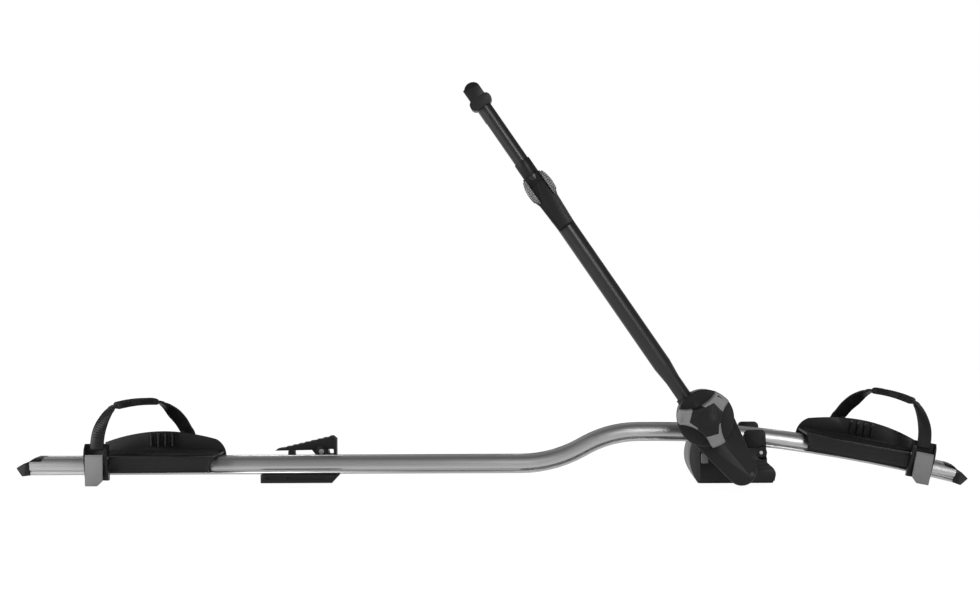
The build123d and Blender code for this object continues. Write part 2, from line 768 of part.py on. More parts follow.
parts["rear_foot"] = rear_foot()
parts["rear_foot_pad"] = rear_foot_pad()
parts["rear_cam_lever"] = rear_cam_lever()
parts["rear_t_bolt"] = rear_t_bolt()
parts["rear_lever_pin"] = rod_y(lever_pivot_x, lever_pivot_z, lever_pin_radius,
                                lever_near_y - body_gap - ear_thick - 0.4,
                                lever_far_y + body_gap + ear_thick + 1.0)


# Wheel trays, straps and buckles, drawn once and mirrored for the front
tray_floor_low = rail_height / 2 + sliding_gap
tray_floor_high = tray_floor_low + tray_floor_thick
far_wall_rise = (
    (-87.0, 30.0), (-60.0, 38.5), (-32.0, 44.0), (3.0, 46.5), (49.0, 42.0), (84.0, 34.0), (97.0, 20.0),
)
wall_crown_z = far_wall_rise[3][1]


def wall_end(low_right):
    """The far wall's rounded front end."""
    return ThreePointArc(far_wall_rise[5], far_wall_rise[6], low_right)


def tray_body():
    half = tray_half_length
    floor = block(-half, half, tray_near_y, tray_wall_y + tray_wall_thick, tray_floor_low, tray_floor_high)
    wall_top = Spline(*far_wall_rise[:6])
    low_left, low_right = (-87.0, tray_wall_low), (99.0, tray_wall_low)
    edges = [Line(low_left, far_wall_rise[0]), wall_top, wall_end(low_right), Line(low_right, low_left)]
    body = floor + side_prism(make_face(edges), tray_wall_y, tray_wall_y + tray_wall_thick)
    panel = outline_of((tray_panel_x, tray_panel_low), (half - tray_panel_slant, tray_panel_low),
                       (half, tray_floor_high - 0.4), (tray_panel_x, tray_floor_high - 0.4))
    body += side_prism(panel, tray_near_y, tray_near_y + tray_panel_thick)
    field = outline_of((tray_panel_x + 5, tray_panel_low + 3.5), (half - tray_panel_slant - 4, tray_panel_low + 3.5),
                       (half - 7, tray_floor_high - 4), (tray_panel_x + 5, tray_floor_high - 4))
    field = fillet(field.vertices(), 2.0)
    body -= side_prism(field, tray_near_y - 1, tray_near_y + 0.8)
    mount = block(buckle_left_x, buckle_right_x, tray_near_y, tray_near_y + tray_panel_thick, buckle_low,
                  tray_floor_high)
    body += mount
    skirt_near = rail_width / 2 + sliding_gap
    for side in (-1, 1):
        low, high = sorted((side * skirt_near, side * (skirt_near + tray_skirt_thick)))
        body += block(-half + 8, half - 8, low, high, tray_skirt_low, tray_floor_low)
        lip_low, lip_high = sorted((side * (skirt_near - rail_groove_depth), side * skirt_near))
        groove_z = -rail_height / 2 + rail_groove_rise
        lip_half = rail_groove_height / 2 - 0.5
        body += block(-tray_lip_length / 2, tray_lip_length / 2, lip_low, lip_high, groove_z - lip_half,
                      groove_z + lip_half)
    for step in range(tray_rib_count):
        x = tray_rib_middle + (step - (tray_rib_count - 1) / 2) * tray_rib_pitch
        rib = outline_of((tray_wall_y + 0.5, tray_floor_high + 4), (tray_wall_y + 0.5, wall_crown_z - 2.0),
                         (tray_wall_y - tray_rib_depth + 1.5, wall_crown_z - 2.6),
                         (tray_wall_y - tray_rib_depth, wall_crown_z - 8.0))
        body += end_prism(rib, x - tray_rib_width / 2, x + tray_rib_width / 2)
    gusset = outline_of((skirt_near + 1, tray_skirt_low + 4), (skirt_near + 1, tray_floor_low + 0.5),
                        (tray_wall_y + 0.5, tray_floor_low + 0.5), (tray_wall_y + 0.5, tray_wall_low + 3))
    for x in (-70.0, -35.0, 35.0, 70.0):
        body += end_prism(gusset, x - 1.25, x + 1.25)
        near_gusset = outline_of((-skirt_near - 1, tray_skirt_low + 4), (-skirt_near - 1, tray_floor_low + 0.5),
                                 (tray_near_y + 1, tray_floor_low + 0.5), (tray_near_y + 1, tray_panel_low + 3))
        body += end_prism(near_gusset, x - 1.25, x + 1.25)
    anchor = outline_of((tray_wall_y + 2, strap_anchor_z - 6), (strap_anchor_y + 4, strap_anchor_z - 4),
                        (strap_anchor_y + 4, strap_anchor_z + 4), (tray_wall_y + 2, strap_anchor_z + 7))
    for side in (-1, 1):
        centre = strap_anchor_x + side * (strap_width / 2 + body_gap + 1.5)
        body += end_prism(anchor, centre - 1.5, centre + 1.5)
    body -= rod_x(strap_anchor_y, strap_anchor_z, anchor_pin_radius + 0.02, strap_anchor_x - 40,
                  strap_anchor_x + 40)
    return body


def tray_liner():
    ridge = 1.0
    outline = outline_of((-liner_half_width, 0), (liner_half_width, 0), (liner_half_width, liner_thick + ridge),
                         (liner_half_width - 4, liner_thick + ridge), (liner_half_width - 9, liner_thick - 0.6),
                         (-liner_half_width + 9, liner_thick - 0.6),
                         (-liner_half_width + 4, liner_thick + ridge), (-liner_half_width, liner_thick + ridge))
    low = tray_floor_high + 0.05
    return end_prism(Pos(-2, low) * outline, -tray_half_length + 6, tray_half_length - 6)


def buckle_body():
    plate_high = tray_near_y - 0.1
    plate_low = plate_high - buckle_plate_thick
    front = tray_near_y - buckle_depth
    plate = outline_of((buckle_left_x, buckle_low), (buckle_right_x, buckle_low), (buckle_right_x, buckle_high - 6),
                       (buckle_right_x - 5, buckle_high), (buckle_left_x + 3, buckle_high),
                       (buckle_left_x, buckle_high - 4))
    body = side_prism(plate, plate_low, plate_high)
    cheek_side = outline_of((plate_high, buckle_low), (plate_low - 2, buckle_low), (front - 1, lever_hinge_z - 8),
                            (front - 3, lever_hinge_z + 3), (front - 1, buckle_high - 7),
                            (plate_low - 3, buckle_high), (plate_high, buckle_high))
    body += end_prism(cheek_side, buckle_left_x, buckle_left_x + buckle_thin_cheek)
    body += end_prism(cheek_side, buckle_right_x - buckle_thick_cheek, buckle_right_x)
    body -= rod_x(lever_hinge_y, lever_hinge_z, buckle_pin_radius + 0.02, buckle_left_x - 1, buckle_right_x + 1)
    return body


def buckle_lever():
    left = buckle_left_x + buckle_thin_cheek + body_gap
    right = buckle_right_x - buckle_thick_cheek - body_gap
    face_y = tray_near_y - buckle_depth - 1.0
    side = outline_of((face_y, lever_low + 2), (face_y - lever_thick + 1, lever_low),
                      (face_y - lever_thick, lever_low + 6), (face_y - lever_thick + 0.5, lever_high - 3),
                      (face_y - lever_thick + 3, lever_high), (lever_hinge_y + 3.6, lever_high - 0.6),
                      (lever_hinge_y + 3.6, lever_hinge_z - 3), (face_y, lever_hinge_z - 7))
    lever = end_prism(side, left, right)
    corner = outline_of((right - 9, lever_low - 1), (right + 1, lever_low - 1), (right + 1, lever_low + 9))
    lever -= side_prism(corner, face_y - 10, face_y + 10)
    lever -= rod_x(lever_hinge_y, lever_hinge_z, buckle_pin_radius + running_gap, left - 1, right + 1)
    return lever


def strap_stations():
    """Places along the strap, each with the direction of its width."""
    over_wall = wall_crown_z - 2.5 + strap_thick
    return [
        ((strap_mouth_x, -53.6, 28.0), (1, 0, 0)),
        ((strap_mouth_x, -53.4, 40.0), (1, 0, 0)),
        ((strap_mouth_x + 2.0, -52.6, 54.0), (1, -0.12, 0)),
        ((strap_mouth_x + 6.2, -50.8, 67.0), (0.94, -0.34, 0)),
        ((-63.5, -47.2, 79.0), (0.82, -0.57, 0)),
        ((-57.6, -43.2, 87.5), (0.66, -0.75, 0)),
        ((-49.0, -37.6, 93.0), (0.53, -0.85, 0)),
        ((0.0, -8.2, 96.5), (0.53, -0.85, 0)),
        ((9.6, -1.8, 93.4), (0.56, -0.83, 0)),
        ((17.6, 6.6, 86.0), (0.66, -0.75, 0)),
        ((24.6, 18.4, 75.0), (0.76, -0.65, 0)),
        ((31.4, 30.4, 63.0), (0.86, -0.51, 0)),
        ((36.4, 38.4, over_wall + 3.5), (0.95, -0.3, 0)),
        ((strap_anchor_x - 2.5, strap_anchor_y - 0.6, over_wall - 4.0), (1, 0, 0)),
        ((strap_anchor_x, strap_anchor_y, over_wall - 15.0), (1, 0, 0)),
        ((strap_anchor_x, strap_anchor_y, strap_anchor_z - 4.0), (1, 0, 0)),
    ]


def strap():
    stations = strap_stations()
    sections = []
    for index, (place, across) in enumerate(stations):
        before = Vector(*stations[max(index - 1, 0)][0])
        after = Vector(*stations[min(index + 1, len(stations) - 1)][0])
        plane = Plane(origin=place, x_dir=across, z_dir=(after - before).normalized())
        sections.append(plane * Rectangle(strap_width, strap_thick))
    solid = loft(sections, ruled=True)
    solid += rod_x(strap_anchor_y, strap_anchor_z, 3.6, strap_anchor_x - strap_width / 2,
                   strap_anchor_x + strap_width / 2)
    return solid - rod_x(strap_anchor_y, strap_anchor_z, anchor_pin_radius + running_gap,
                         strap_anchor_x - 40, strap_anchor_x + 40)


def strap_pad():
    stations = strap_stations()
    low_end, high_end = strap_pad_span
    start = Vector(*stations[low_end][0])
    finish = Vector(*stations[high_end][0])
    run = finish - start
    plane = Plane(origin=start + run * 0.02, x_dir=stations[low_end][1], z_dir=run.normalized())
    sleeve = RectangleRounded(strap_pad_width, strap_pad_thick, 3.0)
    slot = Rectangle(strap_width + 0.6, strap_thick + 0.6)
    return plane * extrude(sleeve - slot, run.length * 0.96)


def tray_parts():
    return {
        "tray": tray_body(),
        "tray_liner": tray_liner(),
        "buckle_body": buckle_body(),
        "buckle_lever": buckle_lever(),
        "buckle_pin": rod_x(lever_hinge_y, lever_hinge_z, buckle_pin_radius, buckle_left_x - 0.8,
                            buckle_right_x + 0.8),
        "strap": strap(),
        "strap_pad": strap_pad(),
        "anchor_pin": rod_x(strap_anchor_y, strap_anchor_z, anchor_pin_radius,
                            strap_anchor_x - strap_width / 2 - 4, strap_anchor_x + strap_width / 2 + 4),
    }


for name, solid in tray_parts().items():
    parts[f"rear_{name}"] = rail_frame(rear_tray_x) * solid
    parts[f"front_{name}"] = rail_frame(front_tray_x) * mirror(solid, about=Plane.YZ)


# Folding arm, in its own frame: x along the arm, y across it and z towards the far side
arm_frame = Plane(origin=(0, 0, pivot_z), x_dir=(-cos(radians(arm_angle)), 0, sin(radians(arm_angle))),
                  z_dir=(0, 1, 0))


def arm_hull(inset=0.0):
    return Pos(knob_u, 0) * tangent_hull(housing_radius - inset, nose_radius - inset, knob_u - nose_u)


def tube(radius, low_u, high_u):
    """A round bar on the arm's tube axis."""
    return end_prism(Pos(tube_v, tube_y) * Circle(radius), low_u, high_u)


def rod_arm(u, v, radius, low_y, high_y):
    return flat_prism(Pos(u, v) * Circle(radius), low_y, high_y)


def arm_housing():
    shell = flat_prism(arm_hull(), arm_split_y, arm_back_y)
    shell = chamfer(shell.faces().sort_by(Axis.Z)[-1].edges(), 1.0)
    socket_end = knob_u + housing_radius + 1
    shell += end_prism(Pos(tube_v, tube_y) * Circle(swage_radius + tube_socket_wall), knob_u + 25, socket_end)
    cavity = flat_prism(arm_hull(arm_wall), arm_split_y - 1, arm_back_y - 4.0)
    cavity &= block(-200, tube_entry_u, -100, 100, -200, 0)
    shell -= cavity
    shell += rod_arm(knob_u, 0, 9.0, -75.2, arm_back_y - 3.5)
    shell -= tube(swage_radius + 0.1, tube_entry_u - 5, socket_end + 1)
    shell -= rod_arm(0, 0, 8.05, arm_back_y - 6, arm_back_y + 1)
    shell -= rod_arm(knob_u, 0, shaft_tail_radius + running_gap, -80, -66.0)
    for u, v in screw_places():
        shell += rod_arm(u, v, 5.0, arm_split_y, arm_back_y - 3.5)
        shell -= rod_arm(u, v, 1.8, arm_split_y - 1, arm_split_y + 14)
    return shell


def screw_places():
    return ((knob_u - 22, housing_radius - 9), (nose_u - 13, 9.5))


def arm_cover():
    cover = flat_prism(arm_hull(), arm_cover_y, arm_split_y - 0.1)
    cover = fillet(cover.faces().sort_by(Axis.Z)[0].edges(), 3.0)
    cover -= rod_arm(knob_u, 0, shaft_radius + running_gap, -120, -90)
    for u, v in screw_places():
        cover -= rod_arm(u, v, 2.1, -120, -90)
        cover -= rod_arm(u, v, 3.9, -120, arm_cover_y + 3.4)
    return cover


def cover_screws():
    screws = []
    for u, v in screw_places():
        screws.append(rod_arm(u, v, 1.7, arm_split_y - 3.5, arm_split_y + 11)
                      + rod_arm(u, v, 3.6, arm_cover_y + 0.6, arm_cover_y + 3.3))
    return Compound(screws)


def pivot_bush():
    bush = rod_arm(0, 0, 8.0, arm_back_y - 4.0, arm_back_y + 0.0)
    return bush - rod_arm(0, 0, pivot_radius + running_gap, -120, 0)


def outer_tube():
    """The lower tube, swaged down to enter the housing."""
    outer = [(tube_entry_u, 0), (tube_entry_u, swage_radius), (swage_low_u, swage_radius),
             (swage_high_u, outer_tube_radius), (jaw_top_u, outer_tube_radius), (jaw_top_u, 0)]
    inner_small = swage_radius - outer_tube_wall
    inner_large = outer_tube_radius - outer_tube_wall
    inner = [(tube_entry_u - 1, 0), (tube_entry_u - 1, inner_small), (swage_low_u, inner_small),
             (swage_high_u, inner_large), (jaw_top_u + 1, inner_large), (jaw_top_u + 1, 0)]
    solid = revolve(outline_of(*outer), Axis.X) - revolve(outline_of(*inner), Axis.X)
    return Pos(0, tube_v, tube_y) * solid


lower_arc = ((jaw_top_u - jaw_pad_thick, tube_y + jaw_wall_y - 1), (jaw_top_u - jaw_pad_thick - 12, -26),
             (jaw_top_u + 2, jaw_reach_y - 6))
upper_arc = ((hook_low_u + jaw_pad_thick + 2, tube_y + jaw_wall_y - 1), (hook_low_u + jaw_pad_thick + 14, -16),
             (hook_low_u - 14, hook_reach_y - 8))


def across_arm(outline, width):
    """An outline in u and the far-side direction, carried across the arm about the tube."""
    return Pos(0, tube_v + width / 2, 0) * extrude(Plane.XZ * outline, width, dir=(0, -1, 0))


def lower_jaw_plan(grow=0.0):
    """The fixed jaw seen square to the arm: a tapered body that flares into two wings."""
    low, high = jaw_block_width / 2, jaw_wing_width / 2 + grow
    edges = []
    for side in (-1, 1):
        corner = (jaw_block_u, tube_v + side * (low - 1.5))
        neck = (jaw_wing_u, tube_v + side * (low + 1.0 + grow))
        tip = (jaw_top_u + grow, tube_v + side * (low - 1.0 + grow))
        edges += [Line(corner, neck), ThreePointArc(neck, (jaw_wing_u + 27, tube_v + side * high), tip)]
    edges.append(Line((jaw_block_u, tube_v - low + 1.5), (jaw_block_u, tube_v + low - 1.5)))
    edges.append(Line((jaw_top_u + grow, tube_v - low + 1.0 - grow), (jaw_top_u + grow, tube_v + low - 1.0 + grow)))
    return make_face(edges)


def lower_jaw():
    near_y, far_y = tube_y - jaw_wall_y, tube_y + jaw_wall_y
    side = outline_of((jaw_block_u + 3, near_y + 1), (jaw_wing_u, near_y), (jaw_top_u - 18, near_y + 2),
                      (jaw_top_u, near_y + 6), (jaw_top_u, far_y), (jaw_block_u, far_y), (jaw_block_u, near_y + 5))
    shell = across_arm(side, jaw_wing_width + 2) & flat_prism(lower_jaw_plan(), near_y - 1, far_y + 1)
    plate = outline_of((jaw_block_u + 4, tube_v - 9), (jaw_block_u + 4, tube_v + 9), (jaw_wing_u, tube_v + 11),
                       (jaw_top_u - 14, tube_v + 6), (jaw_top_u - 14, tube_v - 1), (jaw_wing_u, tube_v - 11))
    shell += flat_prism(fillet(plate.vertices(), 3.0), near_y - jaw_plate_stand, tube_y)
    edges = [
        Line((jaw_block_u + 16, tube_y + jaw_wall_y - 1), lower_arc[0]),
        ThreePointArc(*lower_arc),
        Line(lower_arc[2], (jaw_top_u - 2, jaw_reach_y)),
        Line((jaw_top_u - 2, jaw_reach_y), (jaw_top_u - 10, jaw_reach_y)),
        ThreePointArc((jaw_top_u - 10, jaw_reach_y), (jaw_wing_u + 2.5, -24),
                      (jaw_block_u + 16, tube_y + jaw_wall_y - 1)),
    ]
    shell += across_arm(make_face(edges), jaw_arm_width)
    shell -= tube(outer_tube_radius + 0.1, jaw_block_u - 5, jaw_top_u + 20)
    return shell


def pad_on(arc_points, shift, low_y, high_y, width):
    """A rubber pad that lies along a jaw's arc, on the side that shift points to."""
    lift = seat_gap if shift > 0 else -seat_gap
    near, middle, far = [(u + lift, y) for u, y in arc_points]
    near_top, middle_top, far_top = [(u + lift + shift, y) for u, y in arc_points]
    edges = [ThreePointArc(near, middle, far), Line(far, far_top),
             ThreePointArc(far_top, middle_top, near_top), Line(near_top, near)]
    pad = across_arm(make_face(edges), width)
    return pad & block(near[0] - 60, near[0] + 60, tube_v - width, tube_v + width, low_y, high_y)


def lower_jaw_pad():
    return pad_on(lower_arc, jaw_pad_thick, tube_y + jaw_wall_y + 0.5, jaw_reach_y - 7, jaw_arm_width - 2)


def jaw_side_pads():
    """The rubber grips that wrap the wings of the fixed jaw."""
    wrap = flat_prism(lower_jaw_plan(jaw_grip_thick), tube_y - 11, tube_y + 14)
    wrap -= flat_prism(lower_jaw_plan(0.05), tube_y - 12, tube_y + 15)
    grips = []
    for side in (-1, 1):
        low_v, high_v = sorted((tube_v + side * 14, tube_v + side * (jaw_wing_width + 4) / 2))
        room = block(jaw_wing_u + 8, jaw_top_u - 2, low_v, high_v, tube_y - 20, tube_y + 20)
        grips.append(wrap & room)
    return Compound(grips)


def tube_sleeve():
    sleeve = tube(sleeve_radius, jaw_top_u + 0.1, sleeve_end_u)
    sleeve = chamfer(sleeve.faces().sort_by(Axis.X)[-1].edges(), 1.2)
    return sleeve - tube(inner_tube_radius + body_gap, jaw_top_u - 1, sleeve_end_u + 1)


def inner_tube():
    return (tube(inner_tube_radius, inner_tube_low_u, hook_top_u - 6)
            - tube(inner_tube_radius - inner_tube_wall, inner_tube_low_u - 1, hook_top_u))


def inner_plug():
    plug = tube(inner_tube_radius - inner_tube_wall - 0.1, inner_tube_low_u + 1, inner_tube_low_u + 24)
    slot_low = -(pinion_radius + rack_back + 0.15)
    slot_high = -(pinion_radius - rack_addendum - 0.15)
    slot = block(inner_tube_low_u - 1, inner_tube_low_u + 30, slot_low, slot_high, tube_y - rack_width / 2 - 0.15,
                 tube_y + rack_width / 2 + 0.15)
    return plug - slot


def upper_jaw_plan():
    """The sliding jaw seen square to the arm: a domed head over a rounded collar."""
    half = hook_head_width / 2
    head = [
        Line((hook_low_u, tube_v - half), (hook_low_u, tube_v + half)),
        Line((hook_low_u, tube_v + half), (hook_top_u - half, tube_v + half)),
        ThreePointArc((hook_top_u - half, tube_v + half), (hook_top_u, tube_v), (hook_top_u - half, tube_v - half)),
        Line((hook_top_u - half, tube_v - half), (hook_low_u, tube_v - half)),
    ]
    collar_length = hook_neck_u - hook_low_u
    collar = RectangleRounded(collar_length, hook_collar_width, collar_length / 2 - 0.5)
    return make_face(head) + Pos((hook_low_u + hook_neck_u) / 2, tube_v) * collar


def upper_jaw():
    near_y = tube_y - jaw_wall_y
    far_y = tube_y + jaw_wall_y
    shape = across_arm(outline_of((hook_low_u, near_y + 3), (hook_neck_u, near_y), (hook_top_u - 8, near_y),
                                  (hook_top_u, near_y + 8), (hook_top_u, far_y), (hook_low_u, far_y)),
                       hook_collar_width)
    shape &= flat_prism(upper_jaw_plan(), near_y - 1, far_y + 1)
    edges = [
        Line(upper_arc[0], (hook_top_u - 3, far_y - 1)),
        ThreePointArc((hook_top_u - 3, far_y - 1), (hook_top_u - 2, -18), (hook_low_u + 8, hook_reach_y)),
        Line((hook_low_u + 8, hook_reach_y), (hook_low_u - 14, hook_reach_y - 1)),
        Line((hook_low_u - 14, hook_reach_y - 1), upper_arc[2]),
        ThreePointArc(*reversed(upper_arc)),
    ]
    hook = across_arm(make_face(edges), hook_head_width)
    return shape + hook - tube(inner_tube_radius + 0.1, hook_low_u - 1, hook_top_u - 5.9)


def upper_jaw_pad():
    return pad_on(upper_arc, -jaw_pad_thick, tube_y + jaw_wall_y + 0.5, hook_reach_y - 14, hook_head_width - 2)


# Rack, pinion and knob
pinion_radius = gear_module * pinion_teeth / 2
rack_pitch = pi * gear_module


def pinion_outline():
    """Involute teeth, the first one centred on +x."""
    base = pinion_radius * cos(radians(pressure_angle))
    tip = pinion_radius + gear_module
    root = pinion_radius - 1.25 * gear_module
    lean = tan(radians(pressure_angle)) - radians(pressure_angle)
    half_tooth = pi / (2 * pinion_teeth) + lean
    flank = [(root, half_tooth - 0.0)]
    for step in range(4):
        radius = base + (tip - base) * step / 3
        roll = sqrt(max((radius / base) ** 2 - 1, 0))
        flank.append((radius, half_tooth - (roll - atan2(roll, 1))))
    points = []
    for tooth in range(pinion_teeth):
        middle = 2 * pi * tooth / pinion_teeth
        for radius, half in flank:
            points.append((radius * cos(middle - half), radius * sin(middle - half)))
        for radius, half in reversed(flank):
            points.append((radius * cos(middle + half), radius * sin(middle + half)))
    return outline_of(*points)


def knob_shaft():
    shaft = flat_prism(Pos(knob_u, 0) * pinion_outline(), tube_y - rack_width / 2, tube_y + rack_width / 2)
    shaft += rod_arm(knob_u, 0, shaft_tail_radius, tube_y, -66.5)
    shaft += rod_arm(knob_u, 0, shaft_radius, knob_high_y + 8, tube_y)
    return shaft


def rack():
    """Teeth face the pinion, and one is centred under it at rest."""
    low_u = knob_u - rack_low_reach
    teeth = int(jaw_travel / rack_pitch) + rack_spare_teeth
    pitch_v = -pinion_radius
    back_v = pitch_v - rack_back
    root_v = pitch_v - 1.25 * gear_module
    tip_v = pitch_v + rack_addendum
    slope = tan(radians(pressure_angle))
    half = rack_pitch / 4 - rack_backlash / 2
    body = block(low_u, inner_tube_low_u + 20, back_v, root_v + 0.2, tube_y - rack_width / 2,
                 tube_y + rack_width / 2)
    outline = []
    for index in range(teeth):
        centre = knob_u + (index - 2) * rack_pitch
        if centre - half - slope * (pitch_v - root_v) < low_u:
            continue
        outline += [(centre - half - slope * (pitch_v - root_v), root_v),
                    (centre - half + slope * (tip_v - pitch_v), tip_v),
                    (centre + half - slope * (tip_v - pitch_v), tip_v),
                    (centre + half + slope * (pitch_v - root_v), root_v)]
    outline += [(outline[-1][0], root_v - 1.0), (outline[0][0], root_v - 1.0)]
    return body + flat_prism(outline_of(*outline), tube_y - rack_width / 2, tube_y + rack_width / 2)


def knob_plan():
    """A disc with three wide finger scoops that leave three tips."""
    along = knob_radius * cos(radians(60.0 - knob_tip_half_angle))
    centre = (knob_radius ** 2 - knob_scoop_reach ** 2) / (2 * (along - knob_scoop_reach))
    face = Circle(knob_radius)
    for step in range(3):
        angle = radians(60 + 120 * step)
        face -= Pos(centre * cos(angle), centre * sin(angle)) * Circle(centre - knob_scoop_reach)
    return fillet(face.vertices(), 2.5)


def knob_turned():
    """Where the knob stands on its shaft, with one tip just above the line to the car's rear."""
    return Pos(knob_u, 0) * Rot(0, 0, knob_lobe_lead - arm_angle)


def knob_grip():
    solid = flat_prism(knob_turned() * knob_plan(), knob_high_y, knob_low_y - knob_flange_thick)
    return fillet(solid.faces().sort_by(Axis.Z)[0].edges(), 3.0)


def lobe_space(grow=0.0):
    """Three hooked outlines that part the grey tips from the core."""
    outline = outline_of((60, 16 + grow), (21.6 - grow, 16 + grow), (25.3 - grow, -6.2), (13.3 - grow, -12.5),
                         (10 - grow, -24), (30, -24), (60, -14))
    return [flat_prism(knob_turned() * (Rot(0, 0, 120 * step) * outline), knob_high_y - 1, knob_low_y - 2)
            for step in range(3)]


def knob_body():
    body = knob_grip()
    for room in lobe_space(0.1):
        body -= room
    flange = flat_prism(Pos(knob_u, 0) * Circle(knob_radius), knob_low_y - knob_flange_thick, knob_low_y)
    body += chamfer(flange.faces().sort_by(Axis.Z)[0].edges(), 1.5)
    body += rod_arm(knob_u, 0, 12.0, knob_high_y - 1.2, knob_high_y + 1)
    return body - rod_arm(knob_u, 0, shaft_radius + 0.05, knob_high_y + 7, knob_low_y + 1)


def knob_lobes():
    grip = knob_grip()
    return Compound([grip & room for room in lobe_space()])


def brake_disc():
    disc = rod_arm(knob_u, 0, brake_radius, knob_low_y + 0.1, arm_cover_y - 0.4)
    return disc - rod_arm(knob_u, 0, shaft_radius + 0.05, -130, -90)


arm_parts = {
    "arm_housing": arm_housing(),
    "arm_cover": arm_cover(),
    "arm_cover_screws": cover_screws(),
    "pivot_bush": pivot_bush(),
    "outer_tube": outer_tube(),
    "lower_jaw": lower_jaw(),
    "lower_jaw_pad": lower_jaw_pad(),
    "jaw_side_pads": jaw_side_pads(),
    "tube_sleeve": tube_sleeve(),
    "inner_tube": inner_tube(),
    "inner_plug": inner_plug(),
    "upper_jaw": upper_jaw(),
    "upper_jaw_pad": upper_jaw_pad(),
    "jaw_rack": rack(),
    "knob_shaft": knob_shaft(),
    "knob_body": knob_body(),
    "knob_lobes": knob_lobes(),
    "brake_disc": brake_disc(),
}
for name, solid in arm_parts.items():
    parts[name] = arm_frame * solid

os.makedirs("parts", exist_ok=True)
for name, solid in parts.items():
    export_step(solid, f"parts/{name}.step")
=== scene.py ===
import json
import math
import bmesh
import bpy
from mathutils import Matrix, Vector


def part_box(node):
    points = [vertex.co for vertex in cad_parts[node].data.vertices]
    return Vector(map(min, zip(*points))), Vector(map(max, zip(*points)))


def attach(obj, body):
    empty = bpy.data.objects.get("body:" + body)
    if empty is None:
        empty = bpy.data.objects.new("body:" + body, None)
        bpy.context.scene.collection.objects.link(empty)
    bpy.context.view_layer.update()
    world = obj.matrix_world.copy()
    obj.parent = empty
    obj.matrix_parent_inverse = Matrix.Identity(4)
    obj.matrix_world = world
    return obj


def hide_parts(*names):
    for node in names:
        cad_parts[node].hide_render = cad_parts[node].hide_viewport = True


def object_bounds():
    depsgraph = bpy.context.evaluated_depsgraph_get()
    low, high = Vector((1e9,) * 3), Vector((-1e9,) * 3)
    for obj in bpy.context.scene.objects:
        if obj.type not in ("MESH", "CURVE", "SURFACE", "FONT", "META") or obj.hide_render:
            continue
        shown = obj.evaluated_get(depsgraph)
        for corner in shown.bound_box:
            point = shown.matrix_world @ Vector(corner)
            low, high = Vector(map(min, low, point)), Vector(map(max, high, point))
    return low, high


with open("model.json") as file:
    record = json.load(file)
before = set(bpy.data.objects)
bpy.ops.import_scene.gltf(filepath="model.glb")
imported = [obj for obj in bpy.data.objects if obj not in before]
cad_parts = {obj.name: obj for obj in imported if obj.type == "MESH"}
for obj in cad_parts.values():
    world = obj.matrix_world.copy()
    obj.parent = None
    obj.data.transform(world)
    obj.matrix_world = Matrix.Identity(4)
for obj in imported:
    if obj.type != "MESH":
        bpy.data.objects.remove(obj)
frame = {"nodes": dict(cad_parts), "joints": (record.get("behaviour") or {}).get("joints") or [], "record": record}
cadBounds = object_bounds()
nodes = frame["nodes"]
bodies = frame["record"]["behaviour"]["bodies"]
bodyOf = {node: body for body, members in bodies.items() for node in members}
slotOf = {entry["node"]: entry["material_slot"] for entry in frame["record"]["subparts"]}
joints = {joint["name"]: joint for joint in frame["joints"]}
mm = 0.001
print("frame loaded:", len(nodes), "nodes")


# camera: level, in front of the near side, with a small shift and roll to frame it as the photograph does
view = {"photoWidth": 980, "photoHeight": 609, "distance": 2.5, "metresPerPixel": 0.001523,
        "axisX": 540, "axisY": 260, "originX": 722.6, "originY": 479.0, "rollDegrees": 0.27}


def makeCamera():
    sensor = 36.0
    data = bpy.data.cameras.new("photoCamera")
    data.sensor_width = sensor
    data.lens = sensor * (view["distance"] / view["metresPerPixel"]) / view["photoWidth"]
    data.shift_x = (view["photoWidth"] / 2 - view["axisX"]) / view["photoWidth"]
    data.shift_y = (view["axisY"] - view["photoHeight"] / 2) / view["photoWidth"]
    data.clip_end = 50
    camera = bpy.data.objects.new("photoCamera", data)
    bpy.context.scene.collection.objects.link(camera)
    place = Vector(((view["axisX"] - view["originX"]) * view["metresPerPixel"], -view["distance"],
                    (view["originY"] - view["axisY"]) * view["metresPerPixel"]))
    upright = Matrix.Rotation(math.radians(90), 4, "X")
    roll = Matrix.Rotation(math.radians(view["rollDegrees"]), 4, "Y")
    camera.matrix_world = Matrix.Translation(place) @ roll @ upright
    bpy.context.scene.camera = camera


makeCamera()
bpy.context.scene.view_settings.view_transform = "Standard"


# node maths written as Python, and one method for every other node
class Wire:
    def __init__(self, bench, socket):
        self.bench = bench
        self.socket = socket

    def maths(self, operation, first, second):
        values = {0: first, 1: second}
        return self.bench.add("ShaderNodeMath", {"operation": operation}, values).wire("Value")

    def __add__(self, other):
        return self.maths("ADD", self, other)

    def __radd__(self, other):
        return self.maths("ADD", other, self)

    def __sub__(self, other):
        return self.maths("SUBTRACT", self, other)

    def __rsub__(self, other):
        return self.maths("SUBTRACT", other, self)

    def __mul__(self, other):
        return self.maths("MULTIPLY", self, other)


class Block:
    def __init__(self, bench, node):
        self.bench = bench
        self.node = node

    def wire(self, output=0):
        return Wire(self.bench, self.node.outputs[output])


class Bench:
    def __init__(self, tree):
        self.tree = tree

    def add(self, kind, settings=None, values=None):
        node = self.tree.nodes.new(kind)
        for key, value in (settings or {}).items():
            if key == "stops":
                setStops(node.color_ramp, value)
            else:
                setattr(node, key, value)
        for key, value in (values or {}).items():
            self.feed(node.inputs[key], value)
        return Block(self, node)

    def feed(self, socket, value):
        if isinstance(value, Wire):
            self.tree.links.new(value.socket, socket)
        else:
            socket.default_value = value


